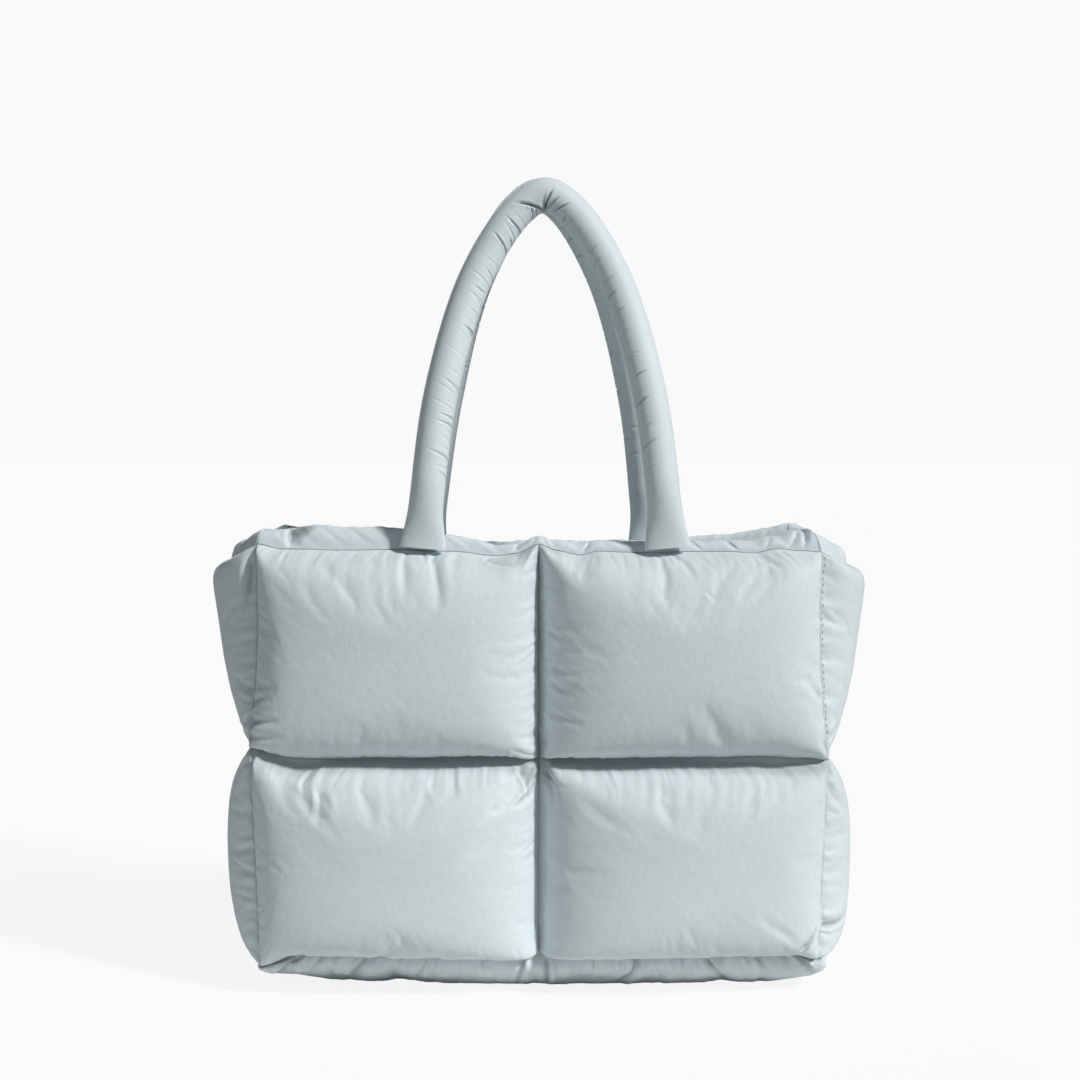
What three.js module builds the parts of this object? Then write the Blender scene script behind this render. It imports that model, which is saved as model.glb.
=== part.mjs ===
// Padded shoulder bag: an open tote quilted into puffy pads, with a cloth facing round its mouth
// and two stuffed handles that lean together over it.
// Millimetres, +Z up. The front faces -Y and +X is to its right. The origin is on the floor, under
// the middle of the bag.
//
// Every pad is a slab between four seams. A seam is a curve with a direction at each end that points
// out of the bag; the pads on both sides of a seam share it, so their edges meet face to face.

import * as THREE from "three";
import { mergeVertices } from "three/addons/utils/BufferGeometryUtils.js";

// Driving sizes of the seam box: height of each level, half width and half depth at its corner seams.
const LEVELS = {
  base: { z: 24, halfWidth: 180, halfDepth: 51 },
  waist: { z: 158, halfWidth: 186, halfDepth: 50 },
  rim: { z: 291, halfWidth: 181, halfDepth: 46 },
};
const MIDDLE_TUCK = { base: 0, waist: 6, rim: 0 }; // how far the middle seam is drawn into the bag
const MIDDLE_DROP = { base: 0, waist: 3, rim: 0 }; // how far it lies below the corner seams
const BACK_RIM_DROP = 8; // the back's rim sags lower than the front's in its middle
const SEAM_DROOP = { base: 1, waist: 0.3, rim: 0 }; // how far a seam points down, for one outwards

// Cloth and clearances
const SEAM_THICKNESS = 2.4; // quilted cloth pinched flat along a seam
const SEAM_GAP = 0.3; // from the edge of a piece to the middle of its seam
const SEAM_NORMAL_REACH = 6; // power that fades a seam's direction into the panel's own

// How each kind of seam bows between its ends.
const SEAM_BOW = {
  cornerUpper: { inward: 3, outward: 0, rise: 0 },
  cornerLower: { inward: 0, outward: 0, rise: 0 },
  middle: { inward: 0, outward: 0, rise: 0 },
  waistFace: { inward: 0, outward: 0, rise: -3 },
  waistSide: { inward: 0, outward: 1, rise: 0 },
  rimFront: { inward: 0, outward: 0, rise: -4 },
  rimBack: { inward: 0, outward: 0, rise: -5 },
  rimSide: { inward: 0, outward: 24, rise: -13 },
  baseFace: { inward: 0, outward: 0, rise: 1 },
  baseSide: { inward: 0, outward: 6, rise: 1 },
};

// How a pad rises from a seam: a square profile stays flat up to its edge, and a low power leaves the
// seam steeply.
const EDGES = {
  shallow: { squareness: 4.8, power: 0.78 },
  deep: { squareness: 3, power: 0.5 },
  round: { squareness: 2.5, power: 0.65 },
  full: { squareness: 8, power: 0.4 },
  taper: { squareness: 1.7, power: 0.85 },
};
const CORNER_FULLNESS = 3; // power that keeps a pad full into its corners
const LEAST_PROFILE = 1e-4;

// Pads: how far the stuffing swells them out of the bag and into it.
const PAD_KINDS = {
  face: { swellOut: 31, swellIn: 8, across: 13, up: 10 },
  sideUpper: { swellOut: 15, swellIn: 3, across: 9, up: 10 },
  sideLower: { swellOut: 20, swellIn: 7, across: 9, up: 10 },
  base: { swellOut: 26, swellIn: 8, across: 18, up: 8 },
};
const GRID_CROWDING = 0.65; // share of the grid that is drawn towards the seams

// Folds pressed into the face pads: where they start along a seam (0 at the outer corner, 1 at the
// middle seam), which seam, how far they run into the pad, and their width and depth.
const FACE_FOLDS = [
  { level: "upper", seam: "top", start: 0.13, reach: 0.45, width: 0.06, depth: 5 },
  { level: "upper", seam: "top", start: 0.52, reach: 0.4, width: 0.05, depth: 6 },
  { level: "upper", seam: "top", start: 0.66, reach: 0.5, width: 0.05, depth: 5 },
  { level: "upper", seam: "bottom", start: 0.1, reach: 0.4, width: 0.07, depth: 5 },
  { level: "lower", seam: "top", start: 0.24, reach: 0.45, width: 0.06, depth: 6 },
  { level: "lower", seam: "top", start: 0.78, reach: 0.35, width: 0.06, depth: 5 },
  { level: "lower", seam: "bottom", start: 0.3, reach: 0.3, width: 0.08, depth: 5 },
];

// Facing: the cloth strip round the mouth, as a path from the rim seam up, over and down inside.
const FACING_THICKNESS = 2.2;
const FACING_PATH = [
  { inward: 0, up: 0.4 },
  { inward: 0.6, up: 5 },
  { inward: 4, up: 9 },
  { inward: 8.5, up: 8 },
  { inward: 11, up: 1 },
  { inward: 12, up: -16 },
];
const FACING_STAND = { corner: 0.95, middle: 0.6 }; // how much of that height the strip keeps
const FACING_STEPS = { face: 22, side: 8, round: 7 };
const FACING_MITRE = { face: 12, side: 6 }; // power that fades the mitre away from the corners

// Handles: half span of the arch at rising heights above the rim, and how far it has leaned inwards.
const HANDLE_OFFSET_X = 4; // the handles are sewn on a little right of the middle
const HANDLE_RADIUS = 11;
const HANDLE_PEAK = { front: 520.6, back: 523 }; // height of the middle line's peak
const HANDLE_SPAN = { front: 1, back: 0.965 }; // the back handle is a little narrower
const HANDLE_ARCH = [
  { halfSpan: 78.5, rise: 0, lean: 0 },
  { halfSpan: 75.5, rise: 35, lean: 0.02 },
  { halfSpan: 66.5, rise: 103, lean: 0.3 },
  { halfSpan: 44.5, rise: 178, lean: 0.76 },
  { halfSpan: 16, rise: 223, lean: 0.98 },
  { halfSpan: 0, rise: 232, lean: 1 },
];
const HANDLE_FOOT = { halfWidth: 14, halfThickness: 4, length: 46, lift: 1.5 }; // pressed flat and sewn
const HANDLE_KINK = { depth: 3.5, share: 0.03 }; // crease under the peak
const HANDLE_CLEARANCE = 0.4;
const HANDLE_SIDES = 10;
const HANDLE_STEPS = 36;

// One cloth colour, a little less bright where the strip round the mouth takes more handling.
const CLOTH = { color: 0xc9d6dc, roughness: 0.72, metalness: 0 };
const FACING_CLOTH = { color: 0xc3d1d8, roughness: 0.74, metalness: 0 };

const vector = (x, y, z) => new THREE.Vector3(x, y, z);

// A solid from a three.js box or cylinder whose every vertex is moved by a function of its place.
function shapedSolid(name, geometry, place, cloth) {
  const bare = geometry.clone();
  bare.deleteAttribute("normal");
  bare.deleteAttribute("uv");
  const closed = mergeVertices(bare, 1e-5);
  const position = closed.getAttribute("position");
  for (let i = 0; i < position.count; i++) {
    const moved = place(vector(position.getX(i), position.getY(i), position.getZ(i)));
    position.setXYZ(i, moved.x, moved.y, moved.z);
  }
  closed.computeVertexNormals();
  const mesh = new THREE.Mesh(closed, new THREE.MeshStandardMaterial(cloth));
  mesh.name = name;
  return mesh;
}

// The seam box's corner where a column of seams crosses a level. side is -1 left, 0 middle, 1 right;
// face is -1 front, 1 back. Its direction is shared by every seam that ends there.
function corner(side, face, level) {
  const { z, halfWidth, halfDepth } = LEVELS[level];
  const depth = side === 0 ? halfDepth - MIDDLE_TUCK[level] : halfDepth;
  const backDrop = face > 0 && level === "rim" ? BACK_RIM_DROP : 0;
  const drop = side === 0 ? MIDDLE_DROP[level] + backDrop : 0;
  return {
    point: vector(side * halfWidth, face * depth, z - drop),
    normal: vector(side, face, -SEAM_DROOP[level]).normalize(),
  };
}

// A seam between two corners. It bows by the named amounts at its middle: towards or away from the
// bag's vertical axis, and up or down.
function seam(from, to, bowName) {
  const bow = SEAM_BOW[bowName];
  const middle = from.point.clone().lerp(to.point, 0.5);
  const away = bowName.endsWith("Side") || bowName.startsWith("corner")
    ? vector(Math.sign(middle.x), 0, 0)
    : vector(0, Math.sign(middle.y), 0);
  const shift = away.multiplyScalar(bow.outward - bow.inward).add(vector(0, 0, bow.rise));
  const control = middle.addScaledVector(shift, 2); // a quadratic curve passes half way to its control
  const curve = new THREE.QuadraticBezierCurve3(from.point, control, to.point);
  return {
    at: (t) => curve.getPoint(t),
    normalAt: (t) => from.normal.clone().lerp(to.normal, t).normalize(),
    length: curve.getLength(),
  };
}

// Point on the surface that spans four seams. u runs along bottom and top, v up left and right.
function patchPoint({ left, right, bottom, top }, u, v) {
  const across = bottom.at(u).multiplyScalar(1 - v).addScaledVector(top.at(u), v);
  const upright = left.at(v).multiplyScalar(1 - u).addScaledVector(right.at(v), u);
  const corners = bottom.at(0).multiplyScalar((1 - u) * (1 - v))
    .addScaledVector(bottom.at(1), u * (1 - v))
    .addScaledVector(top.at(0), (1 - u) * v)
    .addScaledVector(top.at(1), u * v);
  return across.add(upright).sub(corners);
}

// Direction in which a pad swells: the panel's own in its middle, and the seams' along its edges.
function patchNormal({ left, right, bottom, top }, panelNormal, u, v) {
  const fade = (distance) => (1 - distance) ** SEAM_NORMAL_REACH;
  const turn = vector(0, 0, 0);
  const add = (normal, weight) => turn.addScaledVector(normal.clone().sub(panelNormal), weight);
  const weights = { left: fade(u), right: fade(1 - u), bottom: fade(v), top: fade(1 - v) };
  add(left.normalAt(v), weights.left);
  add(right.normalAt(v), weights.right);
  add(bottom.normalAt(u), weights.bottom);
  add(top.normalAt(u), weights.top);
  add(bottom.normalAt(0), -weights.left * weights.bottom);
  add(bottom.normalAt(1), -weights.right * weights.bottom);
  add(top.normalAt(0), -weights.left * weights.top);
  add(top.normalAt(1), -weights.right * weights.top);
  return turn.add(panelNormal).normalize();
}

// Share of the full swelling at u, v, from 0 on the seams to 1 in the middle of the pad. edges names
// how the pad rises from each of its seams.
function crown(u, v, edges) {
  const profile = (t, low, high) => {
    const { squareness, power } = EDGES[t < 0.5 ? low : high];
    return Math.max(LEAST_PROFILE, (1 - Math.abs(2 * t - 1) ** squareness) ** power);
  };
  const across = profile(u, edges.left, edges.right) ** -CORNER_FULLNESS;
  const upright = profile(v, edges.bottom, edges.top) ** -CORNER_FULLNESS;
  return (across + upright - 1) ** (-1 / CORNER_FULLNESS);
}

// How deep the folds of one pad are at u, v. startsOutside says that u starts at the corner seam.
function foldDepth(folds, startsOutside, u, v) {
  const along = startsOutside ? u : 1 - u;
  return folds.reduce((depth, fold) => {
    const distance = fold.seam === "top" ? 1 - v : v;
    const run = Math.max(0, 1 - distance / fold.reach);
    const valley = Math.exp(-(((along - fold.start) / fold.width) ** 2));
    return depth + fold.depth * run * valley;
  }, 0);
}

// A pad: both of its skins spread over the patch between its seams, and swell away from it.
function pad({ name, kind, edges, seams, panelNormal, folds = [], startsOutside = true, floor = -Infinity }) {
  const { swellOut, swellIn, across, up } = PAD_KINDS[kind];
  const crowd = (t) => THREE.MathUtils.lerp(t, (1 - Math.cos(Math.PI * t)) / 2, GRID_CROWDING);
  const inset = (t, length) => THREE.MathUtils.lerp(SEAM_GAP / length, 1 - SEAM_GAP / length, crowd(t));
  const place = (p) => {
    const u = inset(p.x + 0.5, Math.min(seams.bottom.length, seams.top.length));
    const v = inset(p.y + 0.5, Math.min(seams.left.length, seams.right.length));
    const outside = p.z > 0;
    const share = crown(u, v, edges);
    const out = SEAM_THICKNESS / 2 + share * (swellOut - foldDepth(folds, startsOutside, u, v));
    const inside = SEAM_THICKNESS / 2 + share * share * swellIn;
    const point = patchPoint(seams, u, v);
    point.addScaledVector(patchNormal(seams, panelNormal, u, v), outside ? out : -inside);
    point.z = Math.max(floor, point.z);
    return point;
  };
  return shapedSolid(name, new THREE.BoxGeometry(1, 1, 1, across, up, 1), place, CLOTH);
}

// Seams between the levels of one column and between the columns of one level.
function uprightSeam(side, face, lower, upper) {
  const bow = side === 0 ? "middle" : upper === "rim" ? "cornerUpper" : "cornerLower";
  return seam(corner(side, face, lower), corner(side, face, upper), bow);
}

function faceSeam(face, fromSide, toSide, level) {
  const bow = level === "rim" ? (face < 0 ? "rimFront" : "rimBack") : level + "Face";
  return seam(corner(fromSide, face, level), corner(toSide, face, level), bow);
}

function sideSeam(side, fromFace, toFace, level) {
  return seam(corner(side, fromFace, level), corner(side, toFace, level), level + "Side");
}

// The two half seams across a whole face as one seam, from one corner over the middle to the other.
function wholeFaceSeam(face, fromSide, level) {
  const first = faceSeam(face, fromSide, 0, level);
  const second = faceSeam(face, 0, -fromSide, level);
  const pick = (method) => (t) => (t < 0.5 ? first[method](2 * t) : second[method](2 * t - 1));
  return { at: pick("at"), normalAt: pick("normalAt"), length: first.length + second.length };
}

const ROWS = [
  { level: "lower", from: "base", to: "waist" },
  { level: "upper", from: "waist", to: "rim" },
];
const FACES = [
  { name: "front", face: -1 },
  { name: "back", face: 1 },
];
const SIDES = [
  { name: "left", side: -1 },
  { name: "right", side: 1 },
];

// Two rows of two pads on the front, and the same on the back.
function facePads() {
  return FACES.flatMap(({ name, face }) => ROWS.flatMap(({ level, from, to }) => SIDES.map((half) => {
    // u runs to the right as seen from outside, so on the back it runs towards -X.
    const first = half.side * face > 0 ? half.side : 0;
    const last = half.side - first;
    return pad({
      name: `${name}_pad_${level}_${half.name}`,
      kind: "face",
      edges: {
        left: first === 0 ? "deep" : "shallow",
        right: last === 0 ? "deep" : "shallow",
        bottom: from === "base" ? "shallow" : "deep",
        top: to === "rim" ? "shallow" : "deep",
      },
      panelNormal: vector(0, face, 0),
      folds: FACE_FOLDS.filter((fold) => fold.level === level),
      startsOutside: first !== 0,
      seams: {
        left: uprightSeam(first, face, from, to),
        right: uprightSeam(last, face, from, to),
        bottom: faceSeam(face, first, last, from),
        top: faceSeam(face, first, last, to),
      },
    });
  })));
}

// An upper and a lower pad on each end of the bag. The upper one is full up to the rim and tapers down.
const SIDE_ROWS = {
  upper: { kind: "sideUpper", edges: { left: "shallow", right: "shallow", bottom: "taper", top: "full" } },
  lower: { kind: "sideLower", edges: { left: "shallow", right: "shallow", bottom: "round", top: "round" } },
};

function sidePads() {
  return SIDES.flatMap(({ name, side }) => ROWS.map(({ level, from, to }) => pad({
    name: `${name}_side_pad_${level}`,
    ...SIDE_ROWS[level],
    panelNormal: vector(side, 0, 0),
    seams: {
      left: uprightSeam(side, -side, from, to),
      right: uprightSeam(side, side, from, to),
      bottom: sideSeam(side, -side, side, from),
      top: sideSeam(side, -side, side, to),
    },
  })));
}

// The pad under the bag, flat where it rests on the floor.
function basePad() {
  return pad({
    name: "base_pad",
    kind: "base",
    edges: { left: "full", right: "full", bottom: "round", top: "round" },
    panelNormal: vector(0, 0, -1),
    floor: 0,
    seams: {
      left: sideSeam(-1, 1, -1, "base"),
      right: sideSeam(1, 1, -1, "base"),
      bottom: wholeFaceSeam(1, -1, "base"),
      top: wholeFaceSeam(-1, -1, "base"),
    },
  });
}

// A strip of the facing on one stretch of the rim. It is mitred at the corners, where its inward
// direction turns half way towards the next strip's.
function facingStrip(name, kind, rim, inward, endTurn) {
  const path = new THREE.SplineCurve(FACING_PATH.map((row) => new THREE.Vector2(row.inward, row.up)));
  const end = SEAM_GAP / rim.length;
  const mitre = (t) => t ** FACING_MITRE[kind];
  const place = (p) => {
    const u = THREE.MathUtils.lerp(end, 1 - end, p.x + 0.5);
    const t = p.y + 0.5;
    const turn = mitre(1 - u) - mitre(u);
    const direction = inward.clone().addScaledVector(endTurn, turn);
    const section = path.getPoint(t);
    const stand = THREE.MathUtils.lerp(FACING_STAND.corner, FACING_STAND.middle, Math.sin(Math.PI * u));
    const up = section.y > 0 ? section.y * stand : section.y;
    const tangent = path.getTangent(t);
    const offset = Math.sign(p.z) * FACING_THICKNESS / 2;
    return rim.at(u)
      .addScaledVector(direction, section.x - tangent.y * offset)
      .add(vector(0, 0, SEAM_GAP + up + tangent.x * offset));
  };
  const slab = new THREE.BoxGeometry(1, 1, 1, FACING_STEPS[kind], FACING_STEPS.round, 1);
  return shapedSolid(name, slab, place, FACING_CLOTH);
}

function facings() {
  const faceStrips = FACES.map(({ name, face }) => {
    const rim = wholeFaceSeam(face, face, "rim");
    return facingStrip(`facing_${name}`, "face", rim, vector(0, -face, 0), vector(-face, 0, 0));
  });
  const sideStrips = SIDES.map(({ name, side }) => {
    const rim = sideSeam(side, -side, side, "rim");
    return facingStrip(`facing_${name}`, "side", rim, vector(-side, 0, 0), vector(0, side, 0));
  });
  return [...faceStrips, ...sideStrips];
}

// A stuffed tube sewn to the rim at both feet. It arches over the mouth, leans in to its fellow and
// creases under its peak.
function handle(place, face) {
  const footY = LEVELS.rim.halfDepth + FACING_THICKNESS / 2 + HANDLE_CLEARANCE + HANDLE_FOOT.halfThickness;
  const peakY = HANDLE_RADIUS + HANDLE_CLEARANCE / 2;
  const footX = HANDLE_ARCH[0].halfSpan;
  const rim = faceSeam(face, -1, 0, "rim");
  const footZ = rim.at(1 - footX / LEVELS.rim.halfWidth).z + HANDLE_FOOT.lift;
  const stretch = (HANDLE_PEAK[place] - footZ) / HANDLE_ARCH.at(-1).rise;
  const archPoint = (row, side) => vector(
    HANDLE_OFFSET_X + side * row.halfSpan * HANDLE_SPAN[place],
    face * THREE.MathUtils.lerp(footY, peakY, row.lean),
    footZ + row.rise * stretch,
  );
  const rising = HANDLE_ARCH.map((row) => archPoint(row, face));
  const falling = HANDLE_ARCH.slice(0, -1).reverse().map((row) => archPoint(row, -face));
  const path = new THREE.CatmullRomCurve3([...rising, ...falling], false, "centripetal");
  const length = path.getLength();
  const wrap = (p) => {
    const t = p.y + 0.5;
    const tangent = path.getTangentAt(t);
    const outOfBag = vector(0, face, 0);
    outOfBag.addScaledVector(tangent, -outOfBag.dot(tangent)).normalize();
    const outOfArch = outOfBag.clone().cross(tangent);
    const fromFoot = Math.min(t, 1 - t) * length;
    const foot = THREE.MathUtils.smoothstep(HANDLE_FOOT.length - fromFoot, 0, HANDLE_FOOT.length);
    const width = THREE.MathUtils.lerp(HANDLE_RADIUS, HANDLE_FOOT.halfWidth, foot ** 2);
    const thickness = THREE.MathUtils.lerp(HANDLE_RADIUS, HANDLE_FOOT.halfThickness, foot);
    const kink = HANDLE_KINK.depth * Math.max(0, 1 - Math.abs(t - 0.5) / HANDLE_KINK.share);
    const angle = Math.atan2(p.z, p.x);
    const reach = Math.hypot(p.x, p.z);
    const underside = Math.max(0, -Math.sin(angle));
    return path.getPointAt(t)
      .addScaledVector(outOfArch, reach * Math.sin(angle) * (width - kink * underside))
      .addScaledVector(outOfBag, reach * Math.cos(angle) * thickness);
  };
  const tube = new THREE.CylinderGeometry(1, 1, 1, HANDLE_SIDES, HANDLE_STEPS);
  return shapedSolid(`handle_${place}`, tube, wrap, CLOTH);
}

const bag = new THREE.Group();
bag.name = "padded_shoulder_bag";
bag.add(...facePads(), ...sidePads(), basePad(), ...facings());
bag.add(...FACES.map(({ name, face }) => handle(name, face)));

export default bag;
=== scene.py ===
"""Dresses the padded shoulder bag: stuffed pads with simulated cloth, a facing round the mouth, stuffed
handles, stitches, a pale floor and a soft studio light.

Everything is in metres in the bag's own frame: +Z up, the front towards -Y, the origin on the floor.
"""

import logging
import math
from dataclasses import dataclass, replace
from enum import Enum

import bpy
import numpy as np
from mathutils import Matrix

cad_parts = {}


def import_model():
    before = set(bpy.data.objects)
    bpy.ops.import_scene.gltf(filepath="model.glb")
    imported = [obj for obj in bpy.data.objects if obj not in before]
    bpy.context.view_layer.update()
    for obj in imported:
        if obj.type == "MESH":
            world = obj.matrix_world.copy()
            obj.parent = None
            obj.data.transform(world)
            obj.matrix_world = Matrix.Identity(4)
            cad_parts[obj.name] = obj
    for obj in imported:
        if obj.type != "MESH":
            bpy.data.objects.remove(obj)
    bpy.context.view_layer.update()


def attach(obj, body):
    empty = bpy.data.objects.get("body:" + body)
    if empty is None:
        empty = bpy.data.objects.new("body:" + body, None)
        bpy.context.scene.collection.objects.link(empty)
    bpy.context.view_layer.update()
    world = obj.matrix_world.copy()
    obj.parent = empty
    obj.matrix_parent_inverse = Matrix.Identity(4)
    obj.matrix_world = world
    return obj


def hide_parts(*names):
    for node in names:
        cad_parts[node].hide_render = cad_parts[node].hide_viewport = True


LOG = logging.getLogger("padded_shoulder_bag")
MM = 0.001
BODY = "root"
Array = np.ndarray
Thing = bpy.types.Object
Tree = bpy.types.NodeTree
Node = bpy.types.Node
Socket = bpy.types.NodeSocket
UP = np.array([0.0, 0.0, 1.0])
TINY = 1e-9


class Level(Enum):
    """Heights at which seams run round the bag."""

    BASE = "base"
    WAIST = "waist"
    RIM = "rim"


class EdgeKind(Enum):
    """How a pad rises from a seam."""

    SHALLOW = "shallow"
    DEEP = "deep"
    ROUND = "round"
    FULL = "full"
    TAPER = "taper"
    SLOPED = "sloped"
    STEEP = "steep"
    BLUNT = "blunt"


@dataclass(frozen=True)
class LevelSize:
    """Seam box at one level.

    Attributes:
        height: height of the corner seams above the floor.
        half_width: half the distance between the left and right corner seams.
        half_depth: half the distance between the front and back corner seams.
        middle_tuck: how far the middle seam is drawn into the bag.
        middle_drop: how far the middle seam lies below the corners.
        droop: how far the seam's outward direction points down, for one out.
    """

    height: float
    half_width: float
    half_depth: float
    middle_tuck: float
    middle_drop: float
    droop: float


@dataclass(frozen=True)
class SeamBow:
    """How far a seam bows at its middle.

    Attributes:
        outward: how far away from the bag's axis.
        rise: how far upwards.
    """

    outward: float = 0.0
    rise: float = 0.0


LEVEL_SIZES = {
    Level.BASE: LevelSize(0.028, 0.180, 0.051, 0.0, 0.0, 0.35),
    Level.WAIST: LevelSize(0.158, 0.186, 0.050, 0.006, 0.003, 0.3),
    Level.RIM: LevelSize(0.291, 0.181, 0.046, 0.0, 0.0, 0.0),
}
BACK_RIM_DROP = 0.008
SEAM_BOWS = {
    "corner_upper": SeamBow(outward=-0.003),
    "corner_lower": SeamBow(),
    "middle": SeamBow(),
    "waist_face": SeamBow(rise=-0.003),
    "waist_side": SeamBow(outward=0.001),
    "rim_front": SeamBow(rise=-0.004),
    "rim_back": SeamBow(rise=-0.005),
    "rim_side": SeamBow(outward=0.024, rise=-0.013),
    "base_face": SeamBow(rise=0.001),
    "base_side": SeamBow(outward=0.006, rise=0.001),
}
# How far single corners are lifted, by side, face and level
CORNER_LIFTS = {
    (-1, -1, Level.RIM): 2.8 * MM,
    (0, -1, Level.RIM): 2.6 * MM,
    (1, -1, Level.RIM): -2.4 * MM,
    (-1, -1, Level.WAIST): 4.4 * MM,
    (1, -1, Level.WAIST): -3.6 * MM,
    (-1, -1, Level.BASE): -9.0 * MM,
    (-1, 1, Level.BASE): -9.0 * MM,
    (1, -1, Level.BASE): -4.5 * MM,
    (1, 1, Level.BASE): -4.5 * MM,
}
STRAIGHT = ((0.0, 0.0), (1.0, 0.0))


def drift(*rows: tuple[float, float]) -> tuple[tuple[float, float], ...]:
    """Returns how a seam drifts between its ends, from rows of a share and a height in millimetres."""
    return (0.0, 0.0), *((share, height * MM) for share, height in rows), (1.0, 0.0)


# Shares and heights along the front seams, by level and side
FRONT_DRIFT = {
    (Level.RIM, -1): drift(
        (0.08, -2.0), (0.2, -1.0), (0.5, 0.4), (0.68, -1.2), (0.86, -5.4), (0.92, -4.8),
    ),
    (Level.RIM, 1): drift(
        (0.06, -2.6), (0.14, -4.4), (0.22, -0.6), (0.375, 0.0), (0.55, 2.0), (0.667, 2.2),
        (0.765, 1.0), (0.842, 3.4), (0.93, 1.5),
    ),
    (Level.WAIST, -1): drift((0.17, -4.0), (0.5, -0.6), (0.85, 1.8)),
    (Level.WAIST, 1): drift((0.15, 1.8), (0.5, 3.6), (0.76, 4.0), (0.9, 2.2)),
    (Level.BASE, -1): drift((0.16, 7.8), (0.3, 6.4), (0.5, 4.2), (0.75, 2.4)),
    (Level.BASE, 1): drift((0.25, 1.2), (0.5, 2.1), (0.7, 3.3), (0.88, 4.2)),
}
SEAM_THICKNESS = 2.4 * MM
SEAM_CLEARANCE = 0.15 * MM


def unit(vectors: Array) -> Array:
    """Returns vectors scaled to length one along their last axis."""
    return vectors / np.maximum(np.linalg.norm(vectors, axis=-1, keepdims=True), TINY)


def smoothstep(value: Array, low: float, high: float) -> Array:
    """Returns a soft step from 0 at low to 1 at high."""
    share = np.clip((value - low) / (high - low), 0, 1)
    return share**2 * (3 - 2 * share)


def eased(share: Array, rows: tuple[tuple[float, float], ...]) -> Array:
    """Runs through a table of shares and values, level at each row.

    Args:
        share: shares from 0 to 1.
        rows: share and value of each row, the shares rising from 0 to 1.

    Returns:
        The value at each share.
    """
    places, values = np.array(rows).T
    index = np.clip(np.searchsorted(places, share, side="right") - 1, 0, len(places) - 2)
    step = smoothstep((share - places[index]) / (places[index + 1] - places[index]), 0, 1)
    return values[index] + (values[index + 1] - values[index]) * step


@dataclass(frozen=True)
class Seam:
    """A sewn line between two corners of the bag, as a quadratic curve.

    Attributes:
        start: first corner.
        control: control point of the curve.
        end: second corner.
        start_normal: direction out of the bag at the first corner.
        end_normal: direction out of the bag at the second corner.
        drift: how far it wanders upwards, as shares of it and heights.
    """

    start: Array
    control: Array
    end: Array
    start_normal: Array
    end_normal: Array
    drift: tuple[tuple[float, float], ...] = STRAIGHT

    LENGTH_SAMPLES = 65

    def at(self, t: Array) -> Array:
        """Returns the points at shares t of the seam."""
        s = np.asarray(t, float)[..., None]
        smooth = (1 - s) ** 2 * self.start + 2 * s * (1 - s) * self.control + s**2 * self.end
        return smooth + eased(s, self.drift) * UP

    def tangent_at(self, t: Array) -> Array:
        """Returns the unit directions along the seam at shares t."""
        s = np.asarray(t, float)[..., None]
        return unit(2 * (1 - s) * (self.control - self.start) + 2 * s * (self.end - self.control))

    def normal_at(self, t: Array) -> Array:
        """Returns the unit directions out of the bag at shares t."""
        s = np.asarray(t, float)[..., None]
        return unit((1 - s) * self.start_normal + s * self.end_normal)

    @property
    def length(self) -> float:
        """Length of the seam."""
        points = self.at(np.linspace(0, 1, self.LENGTH_SAMPLES))
        return float(np.linalg.norm(np.diff(points, axis=0), axis=1).sum())


@dataclass(frozen=True)
class SeamChain:
    """Two seams end to end that act as one.

    Attributes:
        first: the seam of the first half.
        second: the seam of the second half.
    """

    first: Seam
    second: Seam

    def _pick(self, method: str, t: Array) -> Array:
        """Returns what one of the two seams gives at shares t of the whole."""
        s = np.asarray(t, float)
        near = getattr(self.first, method)(np.clip(2 * s, 0, 1))
        far = getattr(self.second, method)(np.clip(2 * s - 1, 0, 1))
        return np.where((s < 0.5)[..., None], near, far)

    def at(self, t: Array) -> Array:
        """Returns the points at shares t of the chain."""
        return self._pick("at", t)

    def tangent_at(self, t: Array) -> Array:
        """Returns the unit directions along the chain at shares t."""
        return self._pick("tangent_at", t)

    def normal_at(self, t: Array) -> Array:
        """Returns the unit directions out of the bag at shares t."""
        return self._pick("normal_at", t)

    @property
    def length(self) -> float:
        """Length of both seams."""
        return self.first.length + self.second.length


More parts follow.
